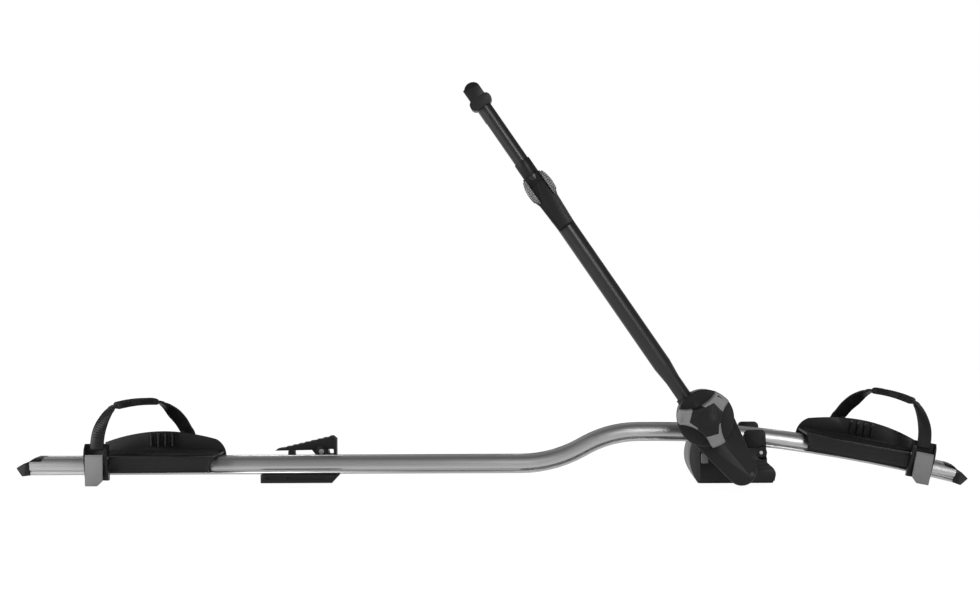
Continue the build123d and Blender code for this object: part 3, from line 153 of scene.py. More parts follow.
class Shader(Bench):
    def __init__(self, name):
        self.material = bpy.data.materials.new(name)
        self.material.use_nodes = True
        super().__init__(self.material.node_tree)
        self.surface = self.tree.nodes["Principled BSDF"]

    def finish(self, **values):
        names = {"baseColor": "Base Color", "roughness": "Roughness", "metallic": "Metallic",
                 "normal": "Normal", "specular": "Specular IOR Level"}
        for key, value in values.items():
            self.feed(self.surface.inputs[names[key]], value)
        return self.material

    def place(self, scale=(1, 1, 1)):
        coordinates = self.add("ShaderNodeTexCoord").wire("Object")
        return self.add("ShaderNodeMapping", None, {"Vector": coordinates, "Scale": scale}).wire("Vector")

    def noise(self, vector, scale, detail=2.0, rough=0.5):
        return self.add("ShaderNodeTexNoise", None, {"Vector": vector, "Scale": scale, "Detail": detail,
                                                     "Roughness": rough}).wire("Fac")

    def ramp(self, factor, *stops):
        return self.add("ShaderNodeValToRGB", {"stops": stops}, {"Fac": factor}).wire("Color")

    def bump(self, height, strength, distance):
        return self.add("ShaderNodeBump", None,
                        {"Height": height, "Strength": strength, "Distance": distance}).wire("Normal")


def setStops(ramp, stops):
    while len(ramp.elements) < len(stops):
        ramp.elements.new(0.5)
    for element, (position, value) in zip(ramp.elements, stops):
        element.position = position
        element.color = value if isinstance(value, tuple) else (value, value, value, 1)


def grey(value, warm=0.0):
    return (value * (1 + warm), value, value * (1 - warm), 1)


# finishes
mould = {"clouds": 14.0, "unevenness": 0.14, "grainStrength": 0.6}
plasticLook = {"tone": 0.0055, "spread": 0.002, "grainSize": 1500, "grainDepth": 0.00006, "roughness": 0.42,
               "specular": 0.22}
greyLook = {"tone": 0.13, "spread": 0.02, "grainSize": 1300, "grainDepth": 0.00005, "roughness": 0.5,
            "specular": 0.35}
tubeLook = {"tone": 0.007, "spread": 0.001, "grainSize": 2600, "grainDepth": 0.000002, "roughness": 0.36,
            "specular": 0.4}
rubberLook = {"tone": 0.007, "spread": 0.003, "grainSize": 900, "grainDepth": 0.00008, "roughness": 0.72,
              "specular": 0.2}
greyRubberLook = {"tone": 0.15, "spread": 0.08, "grainSize": 420, "grainDepth": 0.00012, "roughness": 0.7,
                  "specular": 0.3}
strapLook = {"tone": 0.0065, "spread": 0.002, "grainSize": 1100, "grainDepth": 0.00005, "roughness": 0.45,
             "specular": 0.2}
railLook = {"tone": 0.42, "spread": 0.03, "roughness": 0.42, "unevenness": 0.1, "lines": (6, 900, 900),
            "clouds": 9.0, "lineDepth": 0.00002, "lineStrength": 0.35}
platedLook = {"zinc": 0.5, "blackSteel": 0.06, "bronze": 0.35, "crystals": 220.0, "clouds": 60.0,
              "roughness": 0.3, "unevenness": 0.2}


def mouldedFinish(name, look):  # moulded or coated: fine grain, slightly uneven gloss and rubbed tone
    shader = Shader(name)
    where = shader.place()
    broad = shader.noise(where, mould["clouds"], 3.0)
    fine = shader.noise(where, look["grainSize"], 2.0, 0.6)
    tone = shader.ramp(broad * 0.7 + fine * 0.3, (0.3, grey(look["tone"] - look["spread"])),
                       (0.7, grey(look["tone"] + look["spread"])))
    uneven = broad * mould["unevenness"] - mould["unevenness"] / 2
    return shader.finish(baseColor=tone, roughness=look["roughness"] + uneven, specular=look["specular"],
                         normal=shader.bump(fine, mould["grainStrength"], look["grainDepth"]))


def anodisedFinish():  # drawn aluminium with faint lines along the extrusion
    shader = Shader("anodisedRail")
    lines = shader.noise(shader.place(scale=railLook["lines"]), 1.0, 3.0, 0.6)
    cloud = shader.noise(shader.place(), railLook["clouds"], 3.0)
    tone = shader.ramp(lines * 0.6 + cloud * 0.4, (0.3, grey(railLook["tone"] - railLook["spread"])),
                       (0.7, grey(railLook["tone"] + railLook["spread"])))
    uneven = lines * railLook["unevenness"] - railLook["unevenness"] / 2
    return shader.finish(baseColor=tone, metallic=1.0, roughness=railLook["roughness"] + uneven,
                         normal=shader.bump(lines, railLook["lineStrength"], railLook["lineDepth"]))


def platedFinish(name, tone):  # plated metal: fine crystals under a soft haze
    shader = Shader(name)
    cells = {"Vector": shader.place(), "Scale": platedLook["crystals"]}
    patches = shader.add("ShaderNodeTexVoronoi", None, cells).wire("Distance")
    cloud = shader.noise(shader.place(), platedLook["clouds"], 3.0)
    colour = shader.ramp(cloud * 0.6 + patches * 0.4, (0.25, grey(tone * 0.85)),
                         (0.75, grey(tone * 1.1, 0.02)))
    uneven = cloud * platedLook["unevenness"] - platedLook["unevenness"] / 2
    return shader.finish(baseColor=colour, metallic=1.0, roughness=platedLook["roughness"] + uneven)


finishes = {
    "black_plastic": mouldedFinish("blackPlastic", plasticLook),
    "grey_plastic": mouldedFinish("greyPlastic", greyLook),
    "black_tube": mouldedFinish("blackTube", tubeLook),
    "black_rubber": mouldedFinish("blackRubber", rubberLook),
    "grey_rubber": mouldedFinish("greyRubber", greyRubberLook),
    "black_strap": mouldedFinish("blackStrap", strapLook),
    "anodised_rail": anodisedFinish(),
    "zinc_steel": platedFinish("zincSteel", platedLook["zinc"]),
    "black_steel": platedFinish("blackSteel", platedLook["blackSteel"]),
    "bearing_bronze": platedFinish("bearingBronze", platedLook["bronze"]),
}
print("finishes made:", len(finishes))


def paint(piece, slot):
    piece.data.materials.clear()
    piece.data.materials.append(finishes[slot])


for nodeName, node in nodes.items():
    paint(node, slotOf[nodeName])


# pieces: a mesh at the origin, on its body, in its slot's finish
def newPiece(name, mesh):
    piece = bpy.data.objects.new(name, mesh)
    bpy.context.scene.collection.objects.link(piece)
    return piece


def settle(piece, body, slot):  # bakes a piece's modifiers into its mesh, paints it and puts it on its body
    graph = bpy.context.evaluated_depsgraph_get()
    mesh = bpy.data.meshes.new_from_object(piece.evaluated_get(graph), depsgraph=graph)
    piece.modifiers.clear()
    piece.data = mesh
    paint(piece, slot)
    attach(piece, body)
    return piece


edges = {"weld": 2e-6, "flatBelow": 0.6, "roundAbove": 28, "smoothBelow": 30, "steps": 2}


def roundEdges(piece, radius):
    for polygon in piece.data.polygons:
        polygon.use_smooth = True
    bevel = piece.modifiers.new("roundedEdges", "BEVEL")
    bevel.width = radius * mm
    bevel.segments = edges["steps"]
    bevel.limit_method = "ANGLE"
    bevel.angle_limit = math.radians(edges["roundAbove"])
    bevel.harden_normals = True


# a dressed copy of a CAD node: welded, then its flats joined and its edges rounded, or only shaded smooth
def dress(nodeName, edgeRadius):
    mesh = nodes[nodeName].data.copy()
    work = bmesh.new()
    work.from_mesh(mesh)
    bmesh.ops.remove_doubles(work, verts=work.verts, dist=edges["weld"])
    if edgeRadius:
        bmesh.ops.dissolve_limit(work, angle_limit=math.radians(edges["flatBelow"]), verts=work.verts,
                                 edges=work.edges)
    if nodeName in reshaped:
        reshaped[nodeName](work.verts)
    work.to_mesh(mesh)
    work.free()
    piece = newPiece(nodeName + "_dressed", mesh)
    if edgeRadius:
        roundEdges(piece, edgeRadius)
    else:
        mesh.shade_smooth()
        mesh.set_sharp_from_angle(angle=math.radians(edges["smoothBelow"]))
    settle(piece, bodyOf[nodeName], slotOf[nodeName])
    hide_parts(nodeName)


# changes of shape that a dressed copy gets: a narrower tail to the foot, a slimmer hook behind the tube
footTail = {"from": -0.030, "share": 0.80}
hookTip = {"behind": 0.022, "share": 0.78}


def narrowFoot(verts):
    for vert in verts:
        if vert.co.x < footTail["from"]:
            vert.co.x = footTail["from"] + (vert.co.x - footTail["from"]) * footTail["share"]


def slimHook(verts):
    back = armPlace().inverted()
    forth = armPlace()
    for vert in verts:
        spot = back @ vert.co
        if spot.z > tubeY + hookTip["behind"]:
            spot.y = tubeV + (spot.y - tubeV) * hookTip["share"]
            vert.co = forth @ spot


def armPlace():  # the arm's own frame: X along it, Y across it, Z away from the camera
    along = Vector(joints["jaw_slide"]["axis"])
    turn = Matrix((along, Vector((along.z, 0, -along.x)), Vector((0, 1, 0)))).transposed()
    pivot = joints["arm_fold"]["pos_m"]
    return Matrix.Translation((pivot[0], 0, pivot[2])) @ turn.to_4x4()


tubeV = -0.007
tubeY = (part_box("inner_tube")[0][1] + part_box("inner_tube")[1][1]) / 2
reshaped = {"base_housing": narrowFoot, "base_plate": narrowFoot, "front_bar_pad": narrowFoot,
            "latch_button": narrowFoot, "upper_jaw": slimHook, "upper_jaw_pad": slimHook}
dressed = {"base_housing": 1.2, "rear_foot": 0.5, "rear_cam_lever": 0.5, "lower_jaw": 2.6, "upper_jaw": 2.6,
           "rear_tray": 0.6, "front_tray": 0.6, "rear_buckle_body": 1.3, "front_buckle_body": 1.3,
           "rear_buckle_lever": 1.4, "front_buckle_lever": 1.4, "front_end_cap": 0.8, "rear_end_cap": 0.8,
           "knob_body": 0.7, "knob_lobes": 0.7, "arm_cover": 1.2, "arm_housing": 1.0, "latch_button": 2.0,
           "tube_sleeve": 0.5, "upper_jaw_pad": 0.8, "lower_jaw_pad": 0.8, "rail": 0, "outer_tube": 0,
           "inner_tube": 0, "knob_shaft": 0, "base_cross_bolt": 0.4, "rear_foot_pad": 0.3,
           "front_bar_pad": 0.3, "base_plate": 0.2}
for nodeName, edgeRadius in dressed.items():
    dress(nodeName, edgeRadius)
print("nodes dressed:", len(dressed))


# geometry trees: named sizes in, one plain mesh out
class Pattern(Bench):
    def __init__(self, name, sizes, withMesh=False):
        super().__init__(bpy.data.node_groups.new(name, "GeometryNodeTree"))
        kinds = {int: "NodeSocketInt", float: "NodeSocketFloat", tuple: "NodeSocketVector"}
        sockets = self.tree.interface
        if withMesh:
            sockets.new_socket("Mesh", in_out="INPUT", socket_type="NodeSocketGeometry")
        for key, value in sizes.items():
            sockets.new_socket(key, in_out="INPUT", socket_type=kinds[type(value)])
        sockets.new_socket("Finish", in_out="INPUT", socket_type="NodeSocketMaterial")
        sockets.new_socket("Mesh", in_out="OUTPUT", socket_type="NodeSocketGeometry")
        self.start = self.add("NodeGroupInput")
        self.sizes = sizes

    def size(self, name):
        return self.start.wire(name)

    def read(self, name, kind):  # a value stored on the mesh
        return self.add("GeometryNodeInputNamedAttribute", {"data_type": kind}, {"Name": name}).wire()

    def close(self, geometry):
        solid = self.add("GeometryNodeRealizeInstances", None, {"Geometry": geometry}).wire("Geometry")
        finished = {"Geometry": solid, "Material": self.size("Finish")}
        solid = self.add("GeometryNodeSetMaterial", None, finished).wire()
        self.add("NodeGroupOutput", None, {"Mesh": solid})

    def grow(self, name, body, slot, place, mesh=None, **changes):
        piece = newPiece(name, mesh or bpy.data.meshes.new(name))
        modifier = piece.modifiers.new("pattern", "NODES")
        modifier.node_group = self.tree
        for item in self.tree.interface.items_tree:
            if item.in_out == "INPUT" and item.name in self.sizes:
                modifier[item.identifier] = changes.get(item.name, self.sizes[item.name])
            elif item.in_out == "INPUT" and item.name == "Finish":
                modifier[item.identifier] = finishes[slot]
        settle(piece, body, slot)
        piece.data.transform(place)
        if place.determinant() < 0:
            piece.data.flip_normals()
        return piece


def bar(pattern, along, across, high):  # a low eight-sided rib that lies along X
    rod = {"Vertices": 8, "Radius": 0.5, "Depth": 1.0}
    rib = pattern.add("GeometryNodeMeshCylinder", None, rod).wire("Mesh")
    size = pattern.add("ShaderNodeCombineXYZ", None, {"X": high, "Y": across, "Z": along}).wire()
    return pattern.add("GeometryNodeTransform", None,
                       {"Geometry": rib, "Rotation": (0, math.pi / 2, 0), "Scale": size}).wire()


ribRow = {"Count": 5, "Pitch": 0.01, "Length": 0.01, "Width": 0.002, "Height": 0.001}
arcRow = {"Count": 5, "From": (0, 0, 0), "Middle": (0, 0, 0), "To": (0, 0, 0), "Length": 0.01,
          "Width": 0.002, "Height": 0.001}
toothRow = {"Length": 0.01, "Width": 0.002, "Height": 0.001}


def makeRibRow():  # straight row along X of ribs that lie along Y
    pattern = Pattern("ribRow", ribRow)
    step = pattern.add("ShaderNodeCombineXYZ", None, {"X": pattern.size("Pitch")}).wire()
    line = pattern.add("GeometryNodeMeshLine", None,
                       {"Count": pattern.size("Count"), "Offset": step}).wire()
    rib = bar(pattern, pattern.size("Length"), pattern.size("Width"), pattern.size("Height"))
    ribs = pattern.add("GeometryNodeInstanceOnPoints", None,
                       {"Points": line, "Instance": rib, "Rotation": (0, 0, math.pi / 2)}).wire()
    pattern.close(ribs)
    return pattern


def makeArcRow():  # ribs that lie along Z on an arc in the XY plane, one face on the arc
    pattern = Pattern("arcRow", arcRow)
    ends = {"Start": pattern.size("From"), "Middle": pattern.size("Middle"), "End": pattern.size("To"),
            "Resolution": 64}
    arc = pattern.add("GeometryNodeCurveArc", {"mode": "POINTS"}, ends).wire("Curve")
    points = pattern.add("GeometryNodeCurveToPoints", None, {"Curve": arc, "Count": pattern.size("Count")})
    rib = bar(pattern, pattern.size("Length"), pattern.size("Width"), pattern.size("Height"))
    turned = pattern.add("GeometryNodeTransform", None,
                         {"Geometry": rib, "Rotation": (0, math.pi / 2, 0)}).wire()
    facing = pattern.add("FunctionNodeAlignRotationToVector", {"axis": "Y"},
                         {"Vector": points.wire("Tangent")}).wire()
    ribs = pattern.add("GeometryNodeInstanceOnPoints", None,
                       {"Points": points.wire("Points"), "Instance": turned, "Rotation": facing}).wire()
    pattern.close(ribs)
    return pattern


def makeToothRow():  # one tooth on each marked face of a strap, square to it
    pattern = Pattern("toothRow", toothRow, withMesh=True)
    marked = pattern.read("toothed", "BOOLEAN")
    across = pattern.read("across", "FLOAT_VECTOR")
    normal = pattern.add("GeometryNodeInputNormal").wire()
    lean = pattern.add("FunctionNodeAlignRotationToVector", {"axis": "Z"}, {"Vector": normal}).wire()
    facing = pattern.add("FunctionNodeAlignRotationToVector", {"axis": "X", "pivot_axis": "Z"},
                         {"Rotation": lean, "Vector": across}).wire()
    stored = pattern.add("GeometryNodeStoreNamedAttribute", {"data_type": "QUATERNION", "domain": "FACE"},
                         {"Geometry": pattern.size("Mesh"), "Name": "facing", "Value": facing}).wire()
    points = pattern.add("GeometryNodeMeshToPoints", {"mode": "FACES"},
                         {"Mesh": stored, "Selection": marked}).wire()
    tooth = bar(pattern, pattern.size("Length"), pattern.size("Width"), pattern.size("Height"))
    teeth = pattern.add("GeometryNodeInstanceOnPoints", None,
                        {"Points": points, "Instance": tooth,
                         "Rotation": pattern.read("facing", "QUATERNION")}).wire()
    join = pattern.add("GeometryNodeJoinGeometry", None, {"Geometry": pattern.size("Mesh")})
    pattern.tree.links.new(teeth.socket, join.node.inputs["Geometry"])
    pattern.close(join.wire())
    return pattern


# a tray's own frame, from its strap's pin
pinInTray = Vector((42.0, 44.6, 12.0)) * mm
sides = {"rear": 1, "front": -1}


def trayPlace(side):
    joint = joints[side + "_strap_lift"]
    heading = -Vector(joint["axis"])
    columns = (heading * sides[side], Vector((0, 1, 0)), Vector((-heading.z, 0, heading.x)))
    turn = Matrix(columns).transposed()
    return Matrix.Translation(Vector(joint["pos_m"]) - turn @ pinInTray) @ turn.to_4x4()


# straps: a smooth toothed band from the buckle over the wheel to its pin, in the tray's frame
band = {"width": 20.0, "thick": 3.4, "corner": 0.7, "step": 3.1, "samples": 24, "toothedFrom": 16.0,
        "toothedTo": 78.0, "toothLength": 13.0, "toothWidth": 1.5, "toothHeight": 1.3, "eyeRadius": 3.6,
        "pinRadius": 2.4, "eyeTurns": 20}
padStart = (-49.0, -37.6, 93.0)
padEnd = (0.0, -8.2, 96.5)
padAcross = (0.53, -0.85, 0.0)
bandRoute = (
    ((-75.4, -53.6, 28.0), (1, 0, 0)), ((-75.4, -53.4, 40.0), (1, 0, 0)),
    ((-73.4, -52.6, 54.0), (1, -0.12, 0)), ((-69.2, -50.8, 67.0), (0.94, -0.34, 0)),
    ((-63.5, -47.2, 79.0), (0.82, -0.57, 0)), ((-57.6, -43.2, 87.5), (0.66, -0.75, 0)),
    (padStart, padAcross), (padEnd, padAcross), ((9.6, -1.8, 93.4), (0.56, -0.8, 0.08)),
    ((17.6, 6.6, 86.0), (0.66, -0.6, 0.3)), ((24.6, 18.4, 75.0), (0.74, -0.2, 0.52)),
    ((31.4, 30.4, 63.0), (0.84, -0.1, 0.42)), ((36.4, 38.4, 50.9), (0.94, -0.1, 0.25)),
    ((39.5, 44.0, 43.4), (1, 0, 0.1)), ((42.0, 44.6, 32.4), (1, 0, 0)), ((42.0, 44.6, 15.0), (1, 0, 0)),
)


def through(points, share):  # smooth curve through four points, between the middle two
    before, start, end, after = points
    bend = 2 * before - 5 * start + 4 * end - after
    twist = 3 * start - before - 3 * end + after
    return 0.5 * (2 * start + (end - before) * share + bend * share ** 2 + twist * share ** 3)


def evenStations(route, step):  # the route resampled at even steps, as place and width direction
    places = [Vector(place) for place, across in route]
    widths = [Vector(across).normalized() for place, across in route]
    fine = []
    for span in range(len(places) - 1):
        picks = [max(span - 1, 0), span, span + 1, min(span + 2, len(places) - 1)]
        for part in range(band["samples"]):
            share = part / band["samples"]
            fine.append((through([places[pick] for pick in picks], share),
                         widths[span].lerp(widths[span + 1], share)))
    fine.append((places[-1], widths[-1]))
    stations, travelled = [fine[0]], 0.0
    for (last, lastWidth), (here, width) in zip(fine, fine[1:]):
        travelled += (here - last).length
        if travelled >= step:
            stations.append((here, width))
            travelled = 0.0
    return stations


def bandSection():  # chamfered rectangle: across the width, then outwards
    half, thick, corner = band["width"] / 2, band["thick"] / 2, band["corner"]
    quarter = ((half, thick - corner), (half - corner, thick))
    return ([(x, y) for x, y in quarter] + [(-x, y) for x, y in reversed(quarter)]
            + [(-x, -y) for x, y in quarter] + [(x, -y) for x, y in reversed(quarter)])


def bandMesh(name):
    stations = evenStations(bandRoute, band["step"])
    section = bandSection()
    work = bmesh.new()
    toothed = work.faces.layers.bool.new("toothed")
    acrossLayer = work.faces.layers.float_vector.new("across")
    rings = []
    travelled = 0.0
    for index, (place, width) in enumerate(stations):
        ahead = stations[min(index + 1, len(stations) - 1)][0] - stations[max(index - 1, 0)][0]
        along = ahead.normalized()
        across = (width - along * width.dot(along)).normalized()
        outward = across.cross(along)
        rings.append([work.verts.new((place + across * x + outward * y) * mm) for x, y in section])
        if not index:
            continue
        travelled += band["step"]
        last, here = rings[-2:]
        for corner in range(len(section)):
            following = (corner + 1) % len(section)
            face = work.faces.new((last[corner], last[following], here[following], here[corner]))
            face.smooth = True
            onTop = section[corner][1] == section[following][1] > 0
            face[toothed] = onTop and band["toothedFrom"] < travelled < band["toothedTo"]
            face[acrossLayer] = across
    work.faces.new(reversed(rings[0]))
    work.faces.new(rings[-1])
    addEye(work)
    bmesh.ops.recalc_face_normals(work, faces=work.faces)
    mesh = bpy.data.meshes.new(name)
    work.to_mesh(mesh)
    work.free()
    return mesh


def addEye(work):  # the ring round the anchor pin
    centre = pinInTray / mm
    turns = band["eyeTurns"]
    half = band["width"] / 2
    loops = []
    for x, radius in ((-half, band["pinRadius"]), (-half, band["eyeRadius"]), (half, band["eyeRadius"]),
                      (half, band["pinRadius"])):
        loop = []
        for turn in range(turns):
            angle = 2 * math.pi * turn / turns
            spot = centre + Vector((x, radius * math.cos(angle), radius * math.sin(angle)))
            loop.append(work.verts.new(spot * mm))
        loops.append(loop)
    for index, loop in enumerate(loops):
        other = loops[(index + 1) % len(loops)]
        for turn in range(turns):
            following = (turn + 1) % turns
            work.faces.new((loop[turn], loop[following], other[following], other[turn]))


# strap pads: a moulded sleeve with a crowned back, a rim and two recesses
sleeve = {"overhang": 2.5, "width": 27.0, "thick": 10.2, "crown": 2.4, "squareness": 4.5, "ringPoints": 28,
          "steps": 22, "endRounding": 0.06, "endShare": 0.82, "recess": 1.3, "rim": 2.2, "wall": 0.4,
          "recessSpans": ((0.07, 0.2), (0.3, 0.86)), "slotSpans": ((0.1, 0.3), (0.55, 0.86)),
          "slotDepth": 2.6, "facing": 0.93}


def squared(value):  # draws a circle's cosine or sine out towards a rounded square's
    return math.copysign(abs(value) ** (2 / sleeve["squareness"]), value)


def sleeveMesh(name):
    start, end = Vector(padStart), Vector(padEnd)
    along = (end - start).normalized()
    start, end = start - along * sleeve["overhang"], end + along * sleeve["overhang"]
    across = Vector(padAcross).normalized()
    upward = across.cross(along)
    work = bmesh.new()
    rings = []
    for step in range(sleeve["steps"] + 1):
        share = step / sleeve["steps"]
        edge = min(share, 1 - share) / sleeve["endRounding"]
        rounding = math.sqrt(max(0.0, 1 - (1 - edge) ** 2))
        swell = 1.0 if edge >= 1 else sleeve["endShare"] + (1 - sleeve["endShare"]) * rounding
        centre = start.lerp(end, share) + upward * sleeve["crown"] * math.sin(math.pi * share)
        ring = []
        for point in range(sleeve["ringPoints"]):
            angle = 2 * math.pi * point / sleeve["ringPoints"]
            x = squared(math.cos(angle)) * sleeve["width"] / 2 * swell
            y = squared(math.sin(angle)) * sleeve["thick"] / 2 * swell
            ring.append(work.verts.new((centre + across * x + upward * y) * mm))
        rings.append(ring)
    for low, high in zip(rings, rings[1:]):
        for point in range(sleeve["ringPoints"]):
            following = (point + 1) % sleeve["ringPoints"]
            work.faces.new((low[point], low[following], high[following], high[point]))
    work.faces.new(reversed(rings[0]))
    work.faces.new(rings[-1])
    bmesh.ops.recalc_face_normals(work, faces=work.faces)
    for face in work.faces:
        face.smooth = True
    hollows = [(span, upward, sleeve["rim"] / 2, sleeve["recess"]) for span in sleeve["recessSpans"]]
    hollows += [(span, across, sleeve["rim"] / 4, sleeve["slotDepth"]) for span in sleeve["slotSpans"]]
    for (low, high), facing, rim, deep in hollows:
        chosen = []
        for face in work.faces:
            share = (face.calc_center_median() / mm - start).dot(along) / (end - start).length
            if low < share < high and face.normal.dot(facing) > sleeve["facing"]:
                chosen.append(face)
        bmesh.ops.inset_region(work, faces=chosen, thickness=rim * mm, depth=0.0)
        bmesh.ops.inset_region(work, faces=chosen, thickness=sleeve["wall"] * mm, depth=-deep * mm)
    mesh = bpy.data.meshes.new(name)
    work.to_mesh(mesh)
    work.free()
    return mesh


def makeStrap(side, teeth):
    place = trayPlace(side)
    body = side + "_wheel_strap"
    strap = teeth.grow(side + "_strap_band", body, "black_strap", place, bandMesh(side + "Band"),
                       Length=band["toothLength"] * mm, Width=band["toothWidth"] * mm,
                       Height=band["toothHeight"] * mm)
    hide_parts(side + "_strap")
    mesh = sleeveMesh(side + "Sleeve")
    mesh.transform(place)
    if place.determinant() < 0:
        mesh.flip_normals()
    pad = settle(newPiece(side + "_strap_sleeve", mesh), body, "black_rubber")
    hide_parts(side + "_strap_pad")


teeth = makeToothRow()
for side in sides:
    makeStrap(side, teeth)
print("straps made")


# treads on the liners, ribs on the trays' far walls, and the lower jaw's textured grips and petals
tread = {"Count": 12, "Pitch": 12.5 * mm, "Length": 22.0 * mm, "Width": 2.4 * mm, "Height": 1.2 * mm}
treadStart = (-71.0, -2.0, 18.0)
wallRib = {"Count": 4, "Pitch": 11.0 * mm, "Length": 17.0 * mm, "Width": 3.4 * mm, "Height": 4.4 * mm}
wallRibStart = (-15.0, 32.6, 32.5)
grip = {"rows": 6, "rowPitch": 4.0, "near": -10.0, "From": (468.5, 18.8), "Middle": (484.0, 20.4),
        "To": (499.0, 16.8)}
gripRow = {"Count": 9, "Length": 2.8 * mm, "Width": 2.2 * mm, "Height": 1.6 * mm}
petal = {"inner": 12.2, "low": 461.0, "high": 501.5, "swell": 20.6, "near": -19.6, "thick": 3.0,
         "knobs": 1.5, "columns": 12, "rows": 4, "gap": 0.08, "leaf": 0.6}


def makeTreads(side, rows):
    liner = trayPlace(side) @ Matrix.Translation(Vector(treadStart) * mm)
    wall = trayPlace(side) @ Matrix.Translation(Vector(wallRibStart) * mm)
    upright = Matrix.Rotation(math.radians(90), 4, "X")
    body = bodyOf[side + "_tray_liner"]
    rows.grow(side + "_liner_treads", body, "black_rubber", liner, **tread)
    rows.grow(side + "_wall_ribs", body, "black_plastic", wall @ upright, **wallRib)


def makeGrips(arcs):
    for turn, name in ((1, "upper"), (-1, "lower")):
        for row in range(grip["rows"]):
            deep = tubeY + (grip["near"] + row * grip["rowPitch"]) * mm
            ends = {}
            for key in ("From", "Middle", "To"):
                u, v = grip[key]
                ends[key] = (u * mm, tubeV + turn * v * mm, deep)
            arcs.grow(f"{name}_grip_row_{row}", "arm", "grey_rubber", armPlace(), **ends, **gripRow)


def petalCorners(column, row, turn):  # one block's outline, in the arm's frame
    corners = []
    shown = 1 - 2 * petal["gap"]
    for across, along in ((0, 0), (1, 0), (1, 1), (0, 1)):
        share = (column + petal["gap"] + shown * along) / petal["columns"]
        u = petal["low"] + (petal["high"] - petal["low"]) * share
        reach = (petal["swell"] - petal["inner"]) * math.sin(math.pi * share) ** petal["leaf"]
        v = petal["inner"] + reach * (row + petal["gap"] + shown * across) / petal["rows"]
        corners.append((u * mm, tubeV + turn * v * mm))
    return corners


def petalMesh(turn):  # a leaf-shaped pad on one wing's near face, cut into small blocks
    work = bmesh.new()
    front = tubeY + petal["near"] * mm
    for column in range(petal["columns"]):
        for row in range(petal["rows"]):
            raised = front - (petal["knobs"] * mm if (column + row) % 2 else 0)
            corners = petalCorners(column, row, turn)
            near = [work.verts.new((u, v, raised)) for u, v in corners]
            far = [work.verts.new((u, v, front + petal["thick"] * mm)) for u, v in corners]
            work.faces.new(near)
            work.faces.new(reversed(far))
            for index in range(4):
                following = (index + 1) % 4
                work.faces.new((near[following], near[index], far[index], far[following]))
    bmesh.ops.recalc_face_normals(work, faces=work.faces)
    mesh = bpy.data.meshes.new("petal")
    work.to_mesh(mesh)
    work.free()
    mesh.transform(armPlace())
    return mesh


# a moulded ring that leaves only the middle of the cross bolt's head to be seen
boltCap = {"innerRadius": 2.8, "outerRadius": 8.6, "stand": 1.4, "deep": 3.0, "turns": 40,
           "innerBevel": (1.2, 0.4), "outerBevel": (1.0, 0.6)}


def boltCapMesh():
    low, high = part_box("base_cross_bolt")
    centre = Vector(((low[0] + high[0]) / 2, low[1], (low[2] + high[2]) / 2))
    inner, outer, front = boltCap["innerRadius"], boltCap["outerRadius"], -boltCap["stand"]
    innerWide, innerDeep = boltCap["innerBevel"]
    outerWide, outerDeep = boltCap["outerBevel"]
    profile = ((inner, boltCap["deep"]), (inner, innerDeep + front), (inner + innerWide, front),
               (outer - outerWide, front), (outer, outerDeep + front), (outer, boltCap["deep"]))
    work = bmesh.new()
    loops = []
    for radius, depth in profile:
        loop = []
        for turn in range(boltCap["turns"]):
            angle = 2 * math.pi * turn / boltCap["turns"]
            spot = Vector((radius * math.cos(angle), depth, radius * math.sin(angle)))
            loop.append(work.verts.new(centre + spot * mm))
        loops.append(loop)
    for index, loop in enumerate(loops):
        other = loops[(index + 1) % len(loops)]
        for turn in range(boltCap["turns"]):
            following = (turn + 1) % boltCap["turns"]
            work.faces.new((loop[turn], loop[following], other[following], other[turn])).smooth = True
    bmesh.ops.recalc_face_normals(work, faces=work.faces)
    mesh = bpy.data.meshes.new("boltCap")
    work.to_mesh(mesh)
    work.free()
    return mesh


rows = makeRibRow()
for side in sides:
    makeTreads(side, rows)
makeGrips(makeArcRow())
for turn, name in ((1, "upper"), (-1, "lower")):
    settle(newPiece(name + "_wing_petal", petalMesh(turn)), "arm", "grey_rubber")
cap = newPiece("cross_bolt_cap", boltCapMesh())
cap.data.set_sharp_from_angle(angle=math.radians(edges["smoothBelow"]))
settle(cap, "frame", "black_plastic")
print("ribs, treads and grips made")


# stage: a floor that comes out white, soft lamps, and a world that is darker in glosses behind the camera
stageLook = {"floorSize": 12.0, "floorDrop": 0.0005, "floorTone": 0.86, "floorGlow": 0.92, "glowTone": 1.06,
             "daylight": 0.5, "sky": ((0.0, 1.0), (0.17, 1.0), (0.34, 0.24), (1.0, 0.16)),
             "flat": ((0.72, 0.0), (0.9, 1.0)), "flatTone": 0.11}
softTarget = (-0.3, 0, 0.2)
lamps = {
    "frontSoftbox": {"place": (-0.4, -2.2, 2.2), "aim": softTarget, "size": 1.6, "power": 16,
                     "inGloss": False},
    "rearSoftbox": {"place": (0.3, 1.9, 2.0), "aim": softTarget, "size": 1.6, "power": 14,
                    "inGloss": False},
    "leftStrip": {"place": (-2.4, -1.0, 0.5), "aim": (-0.3, 0, 0.3), "size": 0.9, "power": 34,
                  "inGloss": True},
    "tubeStrip": {"place": (0.50, -1.95, 1.1), "aim": (-0.32, 0, 0.5), "size": 0.40, "length": 0.9,
                  "turn": 34, "power": 22, "inGloss": True},
}


def makeLamp(name, lamp):
    data = bpy.data.lights.new(name, "AREA")
    data.energy = lamp["power"]
    data.shape = "RECTANGLE"
    data.size = lamp["size"]
    data.size_y = lamp.get("length", lamp["size"])
    light = bpy.data.objects.new(name, data)
    light.visible_glossy = lamp["inGloss"]
    bpy.context.scene.collection.objects.link(light)
    direction = Vector(lamp["aim"]) - Vector(lamp["place"])
    turn = direction.to_track_quat("-Z", "Y").to_matrix().to_4x4()
    turn = turn @ Matrix.Rotation(math.radians(lamp.get("turn", 0)), 4, "Z")
    light.matrix_world = Matrix.Translation(lamp["place"]) @ turn


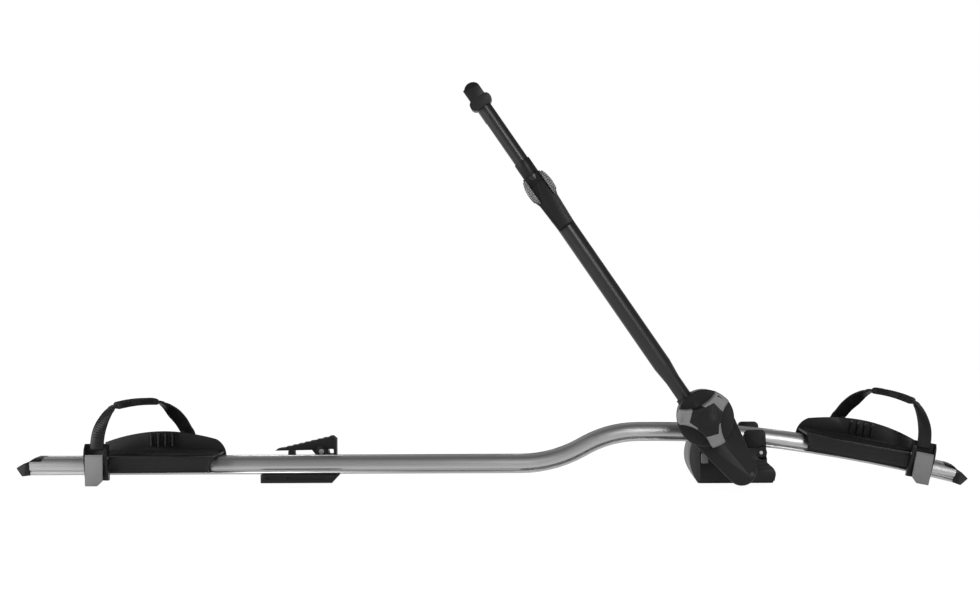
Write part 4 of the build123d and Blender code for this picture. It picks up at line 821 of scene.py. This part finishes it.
def seenDirectly(bench):  # 1 for camera rays and for those seen through glass or in a gloss
    rays = bench.add("ShaderNodeLightPath")
    seen = rays.wire("Is Camera Ray")
    for kind in ("Is Glossy Ray", "Is Transmission Ray"):
        seen = seen.maths("MAXIMUM", seen, rays.wire(kind))
    return seen


def makeFloor():
    half = stageLook["floorSize"] / 2
    low = cadBounds[0][2] - stageLook["floorDrop"]
    corners = [(-half, -half, low), (half, -half, low), (half, half, low), (-half, half, low)]
    mesh = bpy.data.meshes.new("floor")
    mesh.from_pydata(corners, [], [(0, 1, 2, 3)])
    floor = newPiece("floor", mesh)
    material = bpy.data.materials.new("paleFloor")
    material.use_nodes = True
    material.node_tree.nodes.clear()
    bench = Bench(material.node_tree)
    plain = bench.add("ShaderNodeBsdfDiffuse", None, {"Color": grey(stageLook["floorTone"])}).wire()
    glow = bench.add("ShaderNodeEmission", None, {"Color": grey(stageLook["glowTone"])}).wire()
    share = seenDirectly(bench) * stageLook["floorGlow"]
    mixed = bench.add("ShaderNodeMixShader", None, {0: share, 1: plain, 2: glow}).wire()
    bench.add("ShaderNodeOutputMaterial", None, {"Surface": mixed})
    mesh.materials.append(material)


def makeWorld():
    world = bpy.data.worlds.new("studio")
    world.use_nodes = True
    bpy.context.scene.world = world
    world.node_tree.nodes.clear()
    bench = Bench(world.node_tree)
    direction = bench.add("ShaderNodeTexCoord").wire("Generated")
    parts = bench.add("ShaderNodeSeparateXYZ", None, {"Vector": direction})
    sky = bench.add("ShaderNodeValToRGB", {"stops": stageLook["sky"]},
                    {"Fac": parts.wire("Z")}).wire("Color")
    flat = bench.add("ShaderNodeValToRGB", {"stops": stageLook["flat"]},
                     {"Fac": 0 - parts.wire("Y")}).wire("Color")
    inGloss = bench.add("ShaderNodeLightPath").wire("Is Glossy Ray")
    sky = bench.add("ShaderNodeMix", {"data_type": "RGBA"},
                    {"Factor": inGloss * flat, 6: sky, 7: grey(stageLook["flatTone"])}).wire(2)
    shown = bench.add("ShaderNodeBackground", None, {"Color": sky, "Strength": 1.0}).wire()
    light = bench.add("ShaderNodeBackground", None,
                      {"Color": grey(1.0), "Strength": stageLook["daylight"]}).wire()
    mixed = bench.add("ShaderNodeMixShader", None, {0: seenDirectly(bench), 1: light, 2: shown}).wire()
    bench.add("ShaderNodeOutputWorld", None, {"Surface": mixed})


makeFloor()
makeWorld()
for lampName, lamp in lamps.items():
    makeLamp(lampName, lamp)
print("stage set")
